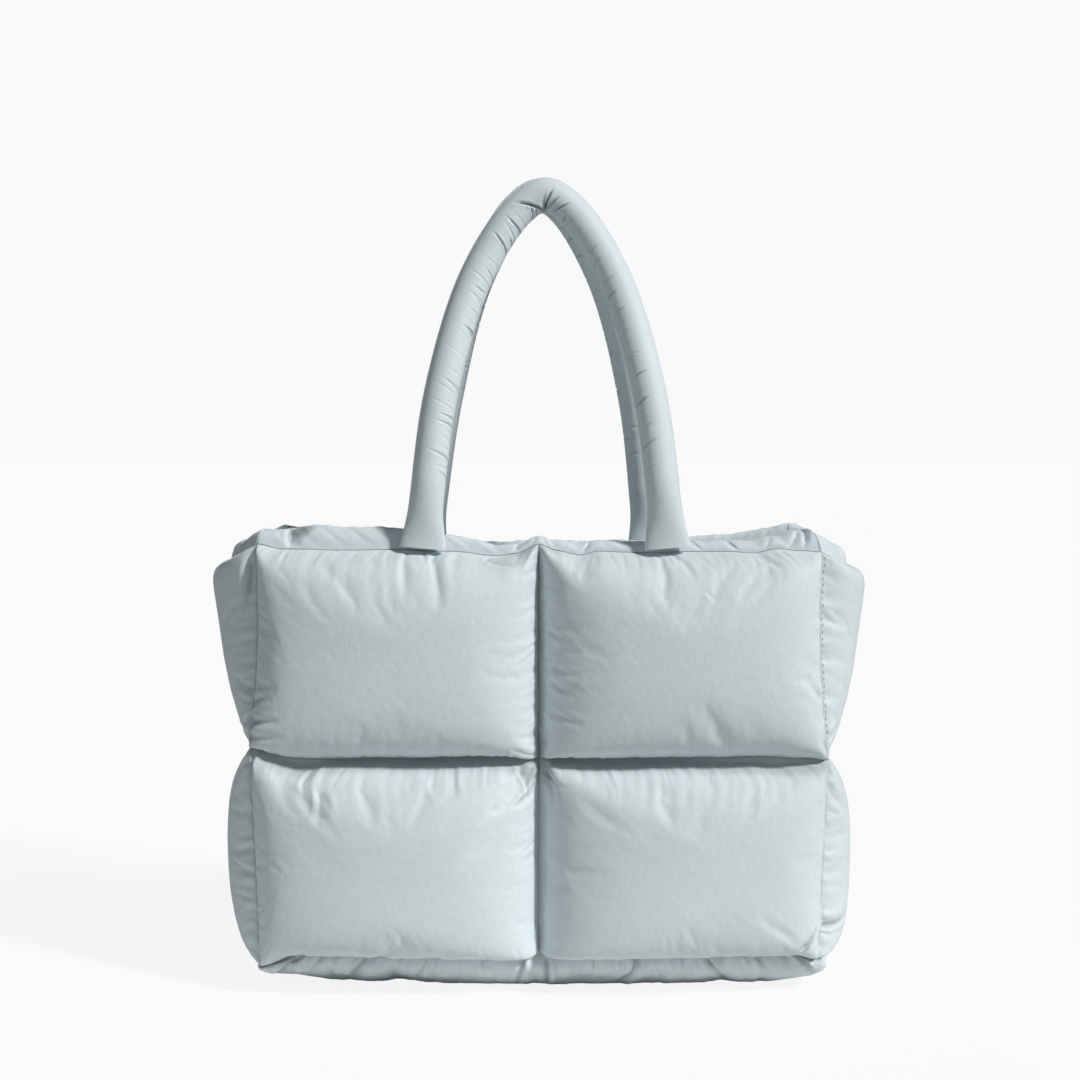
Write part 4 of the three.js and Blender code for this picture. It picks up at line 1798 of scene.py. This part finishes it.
    def build(self, finish: FabricFinish) -> None:
        """Makes the tube from a rolled grid, closes its feet and dresses it.

        Args:
            finish: the cloth that it is made of.
        """
        rough = self.path(self.ROUGH_STEPS)
        length = float(np.linalg.norm(np.diff(rough, axis=0), axis=1).sum())
        steps = round(length / self.step)
        middle = self.path(steps)
        tangent = unit(np.gradient(middle, axis=0))
        out_of_bag = np.tile([0.0, float(self.face), 0.0], (steps + 1, 1))
        out_of_bag = unit(out_of_bag - tangent * (out_of_bag * tangent).sum(axis=1, keepdims=True))
        out_of_arch = np.cross(out_of_bag, tangent)

        tube, u, v = add_grid(f"handle_{self.name}_stuffed", self.sides, steps)
        scale_uv(tube, 2 * math.pi * self.radius, length)
        ring = np.round(v * steps).astype(int)
        along = (v - 0.5) * length
        angle = 2 * math.pi * u + math.pi
        dent = self._dents(along, angle, length)
        foot = smoothstep(self.foot_length - (length / 2 - np.abs(along)), 0, self.foot_length)
        wide = self.radius + (self.foot_half_width - self.radius) * foot**self.FOOT_FLARE
        thick = self.radius + (self.foot_half_thickness - self.radius) * foot
        points = (
            middle[ring]
            + out_of_arch[ring] * (np.sin(angle) * (wide - dent))[:, None]
            + out_of_bag[ring] * (np.cos(angle) * (thick - dent * (1 - foot)))[:, None]
        )
        write_points(tube, points)
        # Painted shade in the crimps, darker where they are deep.
        set_painted_shade(tube, CREASE_SHADE * smoothstep(dent, *SHADED_CRIMPS))
        self._close(tube)
        finish.dress(tube)
        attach(tube, BODY)
        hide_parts(f"handle_{self.name}")
        LOG.info("%s: %.0f mm long, %d faces", tube.name, length / MM, len(tube.data.polygons))


HANDLES = (
    StuffedHandle("front", face=-1, seed=51),
    StuffedHandle(
        "back",
        face=1,
        seed=52,
        offset=1 * MM,
        peak_height=0.523,
        narrowing=0.035,
        left_splay=4 * MM,
        step=0.8 * MM,
    ),
)


@dataclass(frozen=True)
class StripHeight:
    """How the facing stands at a share of its rim.

    Attributes:
        share: the share.
        height: its height there.
        lean: how far it leans inwards, against its usual lean.
        roll: how far it bulges outwards, against its height.
    """

    share: float
    height: float
    lean: float = 1.0
    roll: float = 0.0


@dataclass(frozen=True)
class StripFold:
    """A pinched fold in the facing.

    Attributes:
        share: its place at the seam, as a share of the rim.
        slant: how far it moves along the rim for each metre up.
        half_width: half its width.
        depth: how deep it is.
        ramp: how much wider its far side is at the top of the strip.
    """

    share: float
    slant: float
    half_width: float
    depth: float
    ramp: float = 0.0

    @property
    def follow(self) -> float:
        """Share of its depth that the inner layer has to give way to it."""
        return max(0.0, 1 - LAYER_ROOM / self.depth)


LAYER_ROOM = 4 * MM
LEAST_RAMP = 0.35


@dataclass
class FacingStrip:
    """A strip of cloth round one side of the mouth, rolled over and turned down inside.

    Attributes:
        name: side of the mouth.
        rim: the seam that it is sewn to.
        inward: direction into the bag.
        end_turn: direction in which it turns at its first end.
        mitre: power that fades the mitre away from its ends.
        heights: how high it stands along the rim.
        folds: its pinched folds.
        seed: number that sets its small waves.
        thickness: thickness of the cloth.
        step: size of its faces along the rim.
        rows: faces from the seam to the inner hem.
        end_gap: gap to the next strip.
        wave: height of its small waves.
    """

    name: str
    rim: Seam | SeamChain
    inward: Array
    end_turn: Array
    mitre: int
    heights: tuple[StripHeight, ...]
    folds: tuple[StripFold, ...]
    seed: int
    thickness: float = 1.2 * MM
    step: float = 1.1 * MM
    rows: int = 44
    end_gap: float = 0.3 * MM
    wave: float = 0.5 * MM

    WAVE_LENGTHS = (0.055, 0.031, 0.017, 0.009)
    WAVE_SLANT = 1.5
    WAVE_START = 0.25
    STEADY_END = 12 * MM
    TOP_SHARES = (0.4, 0.62)
    FOLD_START = 0.2
    SHARP_ANGLE = 50

    # Inward and upward places of the section: the first table in heights of the strip, the second in mm
    SECTION_BY_HEIGHT = ((0, 0), (0.10, 0.5), (0.3, 0.93), (0.34, 1.0), (0.36, 0.9), (0.36, 0.35), (0, 0))
    SECTION_FIXED = ((0, 0.15), (0.1, 0.2), (0.3, 0), (2.4, 0.2), (5.0, 0), (6.4, -1.0), (12.0, -17.0))

    def _section(self, t: Array, rows: tuple) -> Array:
        """Returns a smooth run through the rows of a section table, at shares t of it."""
        knots = np.array(rows, float)
        places = np.linspace(0, 1, len(knots))
        slopes = np.gradient(knots, axis=0)
        index = np.clip((t * (len(knots) - 1)).astype(int), 0, len(knots) - 2)
        share = ((t - places[index]) * (len(knots) - 1))[:, None]
        return (
            knots[index] * (2 * share**3 - 3 * share**2 + 1)
            + slopes[index] * (share**3 - 2 * share**2 + share)
            + knots[index + 1] * (3 * share**2 - 2 * share**3)
            + slopes[index + 1] * (share**3 - share**2)
        )

    def _cross_sections(self, share: Array, t: Array) -> tuple[Array, Array]:
        """Works out how the strip stands, without its pinched folds.

        Args:
            share: share along the rim of each vertex.
            t: share from the seam to the inner hem of each vertex.

        Returns:
            The strip's height at each vertex, and the vertex's inward and upward place, a row each.
        """
        length = self.rim.length
        columns = ("height", "lean", "roll")
        rows = (tuple((row.share, getattr(row, name)) for row in self.heights) for name in columns)
        height, lean, roll = (eased(share, row) for row in rows)
        free = smoothstep(np.minimum(share, 1 - share) * length, 0, self.STEADY_END)
        height = height + soft_waves(share * length, self.WAVE_LENGTHS, self.seed) * self.wave * free
        section = self._section(t, self.SECTION_BY_HEIGHT) * np.stack([height * lean, height], axis=1)
        section += self._section(t, self.SECTION_FIXED) * MM
        section[:, 0] -= roll * height * np.sin(math.pi * np.minimum(1, 2 * t))
        slanted = share * length + section[:, 1] * self.WAVE_SLANT
        waves = soft_waves(slanted, self.WAVE_LENGTHS, self.seed) * free
        section[:, 0] += waves * self.wave * smoothstep(t, 0, self.WAVE_START)
        return height, section

    def build(self, finish: FabricFinish) -> None:
        """Makes the strip from a grid, gives it its thickness and dresses it.

        Args:
            finish: the cloth that it is made of.
        """
        length = self.rim.length
        strip, u, t = add_grid(f"facing_{self.name}_cloth", round(length / self.step), self.rows)
        end = self.end_gap / length
        share = end + u * (1 - 2 * end)
        height, section = self._cross_sections(share, t)
        outside = 1 - smoothstep(t, *self.TOP_SHARES)
        pinch = np.zeros_like(share)
        for fold in self.folds:
            aside = (share - fold.share) * length - fold.slant * section[:, 1]
            gentle = 2 * fold.half_width + fold.ramp * np.clip(section[:, 1] / height, LEAST_RAMP, 1)
            valley = np.where(aside > 0, np.clip(1 - aside / gentle, 0, 1), np.exp(aside / fold.half_width))
            behind = fold.follow * np.exp(-((aside / gentle) ** 2))
            layers = outside * valley + (1 - outside) * behind
            pinch += fold.depth * smoothstep(t, 0, self.FOLD_START) * layers
        # Painted shade in the pinched folds, on the outer side of the strip.
        set_painted_shade(strip, CREASE_SHADE * outside * smoothstep(pinch, *SHADED_FOLDS))
        turn = (1 - share) ** self.mitre - share**self.mitre
        direction = self.inward + self.end_turn * turn[:, None]
        points = self.rim.at(share) + direction * section[:, :1] + UP * section[:, 1:]
        write_points(strip, points + self.inward * pinch[:, None])
        area = self._area(strip)
        scale_uv(strip, length, area / length)
        wall = strip.modifiers.new("Wall", "SOLIDIFY")
        wall.thickness = self.thickness
        wall.offset = 0.0
        apply_modifier(strip, wall)
        select_only(strip)
        bpy.ops.object.mode_set(mode="EDIT")
        bpy.ops.mesh.select_all(action="SELECT")
        bpy.ops.mesh.normals_make_consistent(inside=False)
        bpy.ops.object.mode_set(mode="OBJECT")
        bpy.ops.object.shade_smooth_by_angle(angle=math.radians(self.SHARP_ANGLE))
        finish.dress(strip)
        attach(strip, BODY)
        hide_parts(f"facing_{self.name}")
        LOG.info("%s: flat %.0f by %.0f mm", strip.name, length / MM, area / length / MM)

    @staticmethod
    def _area(strip: Thing) -> float:
        """Returns the area of the strip's faces."""
        areas = np.empty(len(strip.data.polygons))
        strip.data.polygons.foreach_get("area", areas)
        return float(areas.sum())


def strip_heights(*rows: tuple[float, ...]) -> tuple[StripHeight, ...]:
    """Returns the heights of a strip from rows of a share, a height in millimetres, a lean and a roll."""
    return tuple(StripHeight(share, height * MM, *rest) for share, height, *rest in rows)


FACING_HEIGHTS = {
    "front": strip_heights(
        (0.0, 8.0), (0.05, 12.0), (0.10, 14.5), (0.215, 13.5), (0.30, 11.0), (0.38, 8.0), (0.445, 5.5),
        (0.50, 4.4), (0.57, 6.5, 1.8, 0.1), (0.62, 6.0, 2.6, 0.2), (0.80, 6.0, 3.0, 0.22),
        (0.93, 7.0, 2.6, 0.2), (0.97, 12.0, 1.4, 0.1), (1.0, 14.0),
    ),
    "back": strip_heights(
        (0.0, 11.0), (0.12, 9.5), (0.35, 8.5), (0.50, 7.0), (0.70, 8.0), (0.90, 10.0), (1.0, 9.5),
    ),
    "left": strip_heights((0.0, 9.5), (0.5, 11.0), (1.0, 9.5)),
    "right": strip_heights((0.0, 13.0), (0.35, 12.0), (1.0, 11.0)),
}
FACING_FOLDS = {
    "front": (
        StripFold(0.056, -0.2, 0.7 * MM, 12.0 * MM, 19.0 * MM),
        StripFold(0.30, 0.6, 1.6 * MM, 0.9 * MM),
        StripFold(0.455, 0.5, 2.0 * MM, 2.4 * MM),
        StripFold(0.485, 0.8, 1.0 * MM, 1.2 * MM),
        StripFold(0.515, -0.8, 1.0 * MM, 1.2 * MM),
        StripFold(0.575, 0.9, 1.4 * MM, 2.6 * MM),
        StripFold(0.74, -0.6, 1.3 * MM, 1.2 * MM),
        StripFold(0.79, -1.2, 1.3 * MM, 2.2 * MM),
        StripFold(0.855, -1.2, 1.3 * MM, 2.4 * MM),
        StripFold(0.90, 0.8, 1.2 * MM, 1.4 * MM),
        StripFold(0.94, 0.9, 0.9 * MM, 3.0 * MM, 5.0 * MM),
        StripFold(0.968, 0.4, 0.9 * MM, 3.6 * MM, 4.0 * MM),
    ),
    "back": (
        StripFold(0.13, 0.4, 2.0 * MM, 2.6 * MM),
        StripFold(0.28, -0.4, 1.8 * MM, 2.0 * MM),
        StripFold(0.66, 0.4, 2.0 * MM, 2.4 * MM),
    ),
    "left": (StripFold(0.7, 0.3, 2.2 * MM, 2.0 * MM), StripFold(0.88, -0.4, 1.6 * MM, 1.8 * MM)),
    "right": (
        StripFold(0.10, -0.6, 1.0 * MM, 3.6 * MM, 4.0 * MM),
        StripFold(0.25, 0.4, 1.2 * MM, 3.0 * MM, 4.0 * MM),
        StripFold(0.45, 0.5, 2.0 * MM, 2.6 * MM),
    ),
}
FACE_MITRE = 12
SIDE_MITRE = 6
FACING_SEEDS = 40


class MouthFacing:
    """The four strips of cloth round the mouth."""

    def __init__(self) -> None:
        """Lists the strips with their seams, heights and folds."""
        self.strips: list[FacingStrip] = []
        for face, name in FACE_NAMES:
            rim = SeamNet.whole_face(face, face, Level.RIM)
            inward = np.array([0.0, -float(face), 0.0])
            turn = np.array([-float(face), 0.0, 0.0])
            self._add(name, rim, inward, turn, FACE_MITRE)
        for side, name in SIDE_NAMES:
            rim = SeamNet.across_side(side, -side, side, Level.RIM)
            inward = np.array([-float(side), 0.0, 0.0])
            turn = np.array([0.0, float(side), 0.0])
            self._add(name, rim, inward, turn, SIDE_MITRE)

    def _add(self, name: str, rim: Seam | SeamChain, inward: Array, turn: Array, mitre: int) -> None:
        """Adds the strip of one side of the mouth."""
        seed = FACING_SEEDS + len(self.strips)
        heights, folds = FACING_HEIGHTS[name], FACING_FOLDS[name]
        self.strips.append(FacingStrip(name, rim, inward, turn, mitre, heights, folds, seed))

    def build(self, finish: FabricFinish) -> None:
        """Makes every strip."""
        for strip in self.strips:
            strip.build(finish)


@dataclass(frozen=True)
class StitchRow:
    """A row of stitches beside a seam.

    Attributes:
        name: name of the piece.
        seam: the seam that it follows.
        onto: node of the pad that it lies on.
        first: share of the seam where it starts.
        last: share of the seam where it ends.
        aside: how far it lies from the seam, along the seam's tangent crossed with its normal.
        drop_from: how far out of the seam each stitch starts its drop onto the pad.
        finish: the thread.
        dash: length of a stitch.
        pitch: distance from one stitch to the next.
        thread: radius of the thread.
    """

    name: str
    seam: Seam
    onto: str
    first: float
    last: float
    aside: float
    drop_from: float
    finish: FabricFinish
    dash: float
    pitch: float
    thread: float = 0.28 * MM

    SEGMENTS = 8
    RINGS = 6
    PROUD_SHARE = 0.25

    def _places(self, shares: Array, out: Array, across: Array) -> Array:
        """Drops each stitch onto the pad and returns where they land."""
        pad = bpy.data.objects[self.onto + "_stuffed"]
        starts = self.seam.at(shares) + across * self.aside + out * self.drop_from
        landed = []
        for start, direction in zip(starts, out):
            hit, place, _, _ = pad.ray_cast(start.tolist(), (-direction).tolist())
            landed.append(np.array(place) if hit else start)
        return np.array(landed) + out * self.thread * self.PROUD_SHARE

    def build(self) -> None:
        """Models one stitch, copies it along the row and dresses the row."""
        bpy.ops.object.select_all(action="DESELECT")
        bpy.ops.mesh.primitive_uv_sphere_add(segments=self.SEGMENTS, ring_count=self.RINGS, radius=1.0)
        stitches = bpy.context.object
        stitches.name = self.name
        stitches.data.name = self.name
        shape = read_points(stitches) * np.array([self.thread, self.thread, self.dash / 2])
        faces = [tuple(face.vertices) for face in stitches.data.polygons]
        count = round(self.seam.length * (self.last - self.first) / self.pitch)
        shares = np.linspace(self.first, self.last, count)
        along = self.seam.tangent_at(shares)
        out = self.seam.normal_at(shares)
        across = np.cross(along, out)
        points, polygons = [], []
        for place, x, y, z in zip(self._places(shares, out, across), across, out, along):
            start = len(points) * len(shape)
            polygons.extend(tuple(index + start for index in face) for face in faces)
            points.append(place + shape @ np.stack([x, y, z]))
        stitches.data.clear_geometry()
        stitches.data.from_pydata(np.vstack(points), [], polygons)
        select_only(stitches)
        bpy.ops.object.shade_smooth()
        self.finish.dress(stitches)
        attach(stitches, BODY)
        LOG.info("%s: %d stitches", self.name, count)


# Thread painted dark grey for the shade between the stitches of the right corner seam; the pale thread
# keeps the thread's own colour.
SHADE_DARKENED_THREAD = FabricFinish("thread_darkened_for_shade", (0.33, 0.37, 0.40), (0.28, 0.32, 0.35))
PALE_THREAD = FabricFinish("pale_thread", (0.72, 0.79, 0.82), (0.68, 0.75, 0.78))
STITCH_ROWS = (
    # These stitches take the thread painted dark for shade.
    StitchRow(
        "corner_stitches_right",
        SeamNet.upright(1, -1, Level.WAIST, Level.RIM),
        "right_side_pad_upper",
        first=0.10,
        last=0.97,
        aside=2.0 * MM,
        drop_from=16 * MM,
        finish=SHADE_DARKENED_THREAD,
        dash=2.4 * MM,
        pitch=4.2 * MM,
    ),
    StitchRow(
        "middle_stitches_lower",
        SeamNet.upright(0, -1, Level.BASE, Level.WAIST),
        "front_pad_lower_right",
        first=0.10,
        last=0.86,
        aside=0.7 * MM,
        drop_from=30 * MM,
        finish=PALE_THREAD,
        dash=1.6 * MM,
        pitch=2.8 * MM,
        thread=0.38 * MM,
    ),
    StitchRow(
        "middle_stitches_upper",
        SeamNet.upright(0, -1, Level.WAIST, Level.RIM),
        "front_pad_upper_right",
        first=0.10,
        last=0.92,
        aside=0.5 * MM,
        drop_from=30 * MM,
        finish=PALE_THREAD,
        dash=1.6 * MM,
        pitch=2.8 * MM,
        thread=0.38 * MM,
    ),
)


@dataclass(frozen=True)
class Lamp:
    """A far soft lamp.

    Attributes:
        name: name of the lamp.
        direction: direction from the bag to the lamp.
        strength: its strength.
        spread: how wide it looks from the bag, in degrees.
    """

    name: str
    direction: tuple[float, float, float]
    strength: float
    spread: float

    COLOUR = (1.0, 0.967, 0.948)

    def hang(self) -> None:
        """Adds the lamp to the scene."""
        lamp = bpy.data.lights.new(self.name, "SUN")
        lamp.angle = math.radians(self.spread)
        lamp.energy = self.strength
        lamp.color = self.COLOUR
        hung = bpy.data.objects.new(self.name, lamp)
        bpy.context.scene.collection.objects.link(hung)
        hung.location = self.direction
        hung.rotation_euler = hung.location.to_track_quat("Z", "Y").to_euler()


KEY_LAMP = Lamp("key", (0.655, -0.437, 0.617), 3.25, 7.0)
FILL_LAMP = Lamp("fill", (-0.85, -0.45, 0.28), 0.3, 80.0)
BACK_LAMP = Lamp("back", (-0.35, 0.85, 0.4), 0.7, 7.0)


@dataclass(frozen=True)
class Studio:
    """Floor, lights and camera.

    Attributes:
        camera_place: where the camera stands.
        camera_tilt: how far it looks down, in degrees.
        focal_pixels: focal length in pixels of the square picture.
        picture_side: side of the square picture in pixels.
        ambient: colour of the even light from all round.
        paper_white: brightness of the backdrop.
        floor_white: how much light the floor shows.
        floor_near: how much light it throws back beside the bag.
        floor_far: how much light it throws back far from the bag.
        floor_reach: distance from the one to the other.
        floor_shadow: how strongly shadows show on it.
    """

    camera_place: tuple[float, float, float] = (0.0007, -1.2, 0.372)
    camera_tilt: float = 3.755
    focal_pixels: float = 1797.5
    picture_side: float = 1080.0
    ambient: tuple[float, float, float] = (0.084, 0.100, 0.110)
    paper_white: float = 0.947
    floor_white: float = 0.80
    floor_near: float = 0.95
    floor_far: float = 0.35
    floor_reach: float = 0.9
    floor_shadow: float = 0.12

    SENSOR_WIDTH = 36.0
    SIGHT = 50.0
    FLOOR_SIDE = 30.0
    FLOOR_ROUGHNESS = 0.9

    def build(self) -> None:
        """Makes the floor, the lights, the world and the camera."""
        scene = bpy.context.scene
        scene.view_settings.view_transform = "Standard"
        self._camera(scene)
        self._world(scene)
        for lamp in (KEY_LAMP, FILL_LAMP, BACK_LAMP):
            lamp.hang()
        self._floor()

    def _camera(self, scene: bpy.types.Scene) -> None:
        """Stands the camera at the photograph's place."""
        lens = bpy.data.cameras.new("camera")
        lens.sensor_width = self.SENSOR_WIDTH
        lens.lens = lens.sensor_width * self.focal_pixels / self.picture_side
        lens.clip_end = self.SIGHT
        camera = bpy.data.objects.new("camera", lens)
        scene.collection.objects.link(camera)
        camera.location = self.camera_place
        camera.rotation_euler = (math.radians(90 - self.camera_tilt), 0.0, 0.0)
        scene.camera = camera

    def _world(self, scene: bpy.types.Scene) -> None:
        """Makes a dim even fill whose backdrop shows as white paper."""
        world = bpy.data.worlds.new("studio")
        scene.world = world
        world.use_nodes = True
        nodes = world.node_tree.nodes
        links = world.node_tree.links
        fill = nodes["Background"]
        fill.inputs["Color"].default_value = (*self.ambient, 1.0)
        paper = nodes.new("ShaderNodeBackground")
        paper.inputs["Color"].default_value = (self.paper_white,) * 3 + (1.0,)
        path = nodes.new("ShaderNodeLightPath")
        mix = nodes.new("ShaderNodeMixShader")
        links.new(path.outputs["Is Camera Ray"], mix.inputs["Fac"])
        links.new(fill.outputs["Background"], mix.inputs[1])
        links.new(paper.outputs["Background"], mix.inputs[2])
        links.new(mix.outputs["Shader"], nodes["World Output"].inputs["Surface"])

    def _floor(self) -> None:
        """Lays a pale floor that shows as white paper with a soft shadow."""
        bpy.ops.object.select_all(action="DESELECT")
        bpy.ops.mesh.primitive_plane_add(size=self.FLOOR_SIDE)
        floor = bpy.context.object
        floor.name = "floor"
        material = bpy.data.materials.new("pale_floor")
        material.use_nodes = True
        nodes = material.node_tree.nodes
        links = material.node_tree.links
        shader = nodes["Principled BSDF"]
        shader.inputs["Roughness"].default_value = self.FLOOR_ROUGHNESS
        shader.inputs["Specular IOR Level"].default_value = 0.0
        lit = self.floor_white * (KEY_LAMP.strength * KEY_LAMP.direction[2] / math.pi + self.ambient[0])
        glow = (self.paper_white - self.floor_shadow * lit) / (1 - self.floor_shadow)
        paper = nodes.new("ShaderNodeEmission")
        paper.inputs["Color"].default_value = (glow,) * 3 + (1.0,)
        path = nodes.new("ShaderNodeLightPath")
        self._floor_colour(material.node_tree, path.outputs["Is Camera Ray"], shader.inputs["Base Color"])
        seen = nodes.new("ShaderNodeMath")
        seen.operation = "MULTIPLY"
        seen.inputs[1].default_value = 1 - self.floor_shadow
        mix = nodes.new("ShaderNodeMixShader")
        links.new(path.outputs["Is Camera Ray"], seen.inputs[0])
        links.new(seen.outputs["Value"], mix.inputs["Fac"])
        links.new(shader.outputs["BSDF"], mix.inputs[1])
        links.new(paper.outputs["Emission"], mix.inputs[2])
        links.new(mix.outputs["Shader"], nodes["Material Output"].inputs["Surface"])
        floor.data.materials.append(material)

    def _floor_colour(
        self, tree: Tree, seen: Socket, into: Socket
    ) -> None:
        """Colours the floor evenly where it is seen, and throws most light back from around the bag.

        Args:
            tree: nodes of the floor's material.
            seen: socket that tells whether the floor is seen directly.
            into: socket that takes the colour.
        """
        place = tree.nodes.new("ShaderNodeTexCoord")
        shrink = tree.nodes.new("ShaderNodeMapping")
        shrink.inputs["Scale"].default_value = (1 / self.floor_reach,) * 3
        near = tree.nodes.new("ShaderNodeTexGradient")
        near.gradient_type = "SPHERICAL"
        tree.links.new(place.outputs["Object"], shrink.inputs["Vector"])
        tree.links.new(shrink.outputs["Vector"], near.inputs["Vector"])
        thrown = tree.nodes.new("ShaderNodeMapRange")
        thrown.inputs["To Min"].default_value = self.floor_far
        thrown.inputs["To Max"].default_value = self.floor_near
        tree.links.new(near.outputs["Fac"], thrown.inputs["Value"])
        either = tree.nodes.new("ShaderNodeMix")
        either.data_type = "FLOAT"
        either.inputs["B"].default_value = self.floor_white
        tree.links.new(seen, either.inputs["Factor"])
        tree.links.new(thrown.outputs["Result"], either.inputs["A"])
        tree.links.new(either.outputs["Result"], into)


def main() -> None:
    """Builds the studio and the bag's pieces in order."""
    logging.basicConfig(level=logging.INFO, format="%(name)s: %(message)s")
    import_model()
    Studio().build()
    PaddedBody().build(PAD_CLOTH)
    MouthFacing().build(FACING_CLOTH)
    for handle in HANDLES:
        handle.build(PAD_CLOTH)
    for row in STITCH_ROWS:
        row.build()


if __name__ == "__main__":
    main()
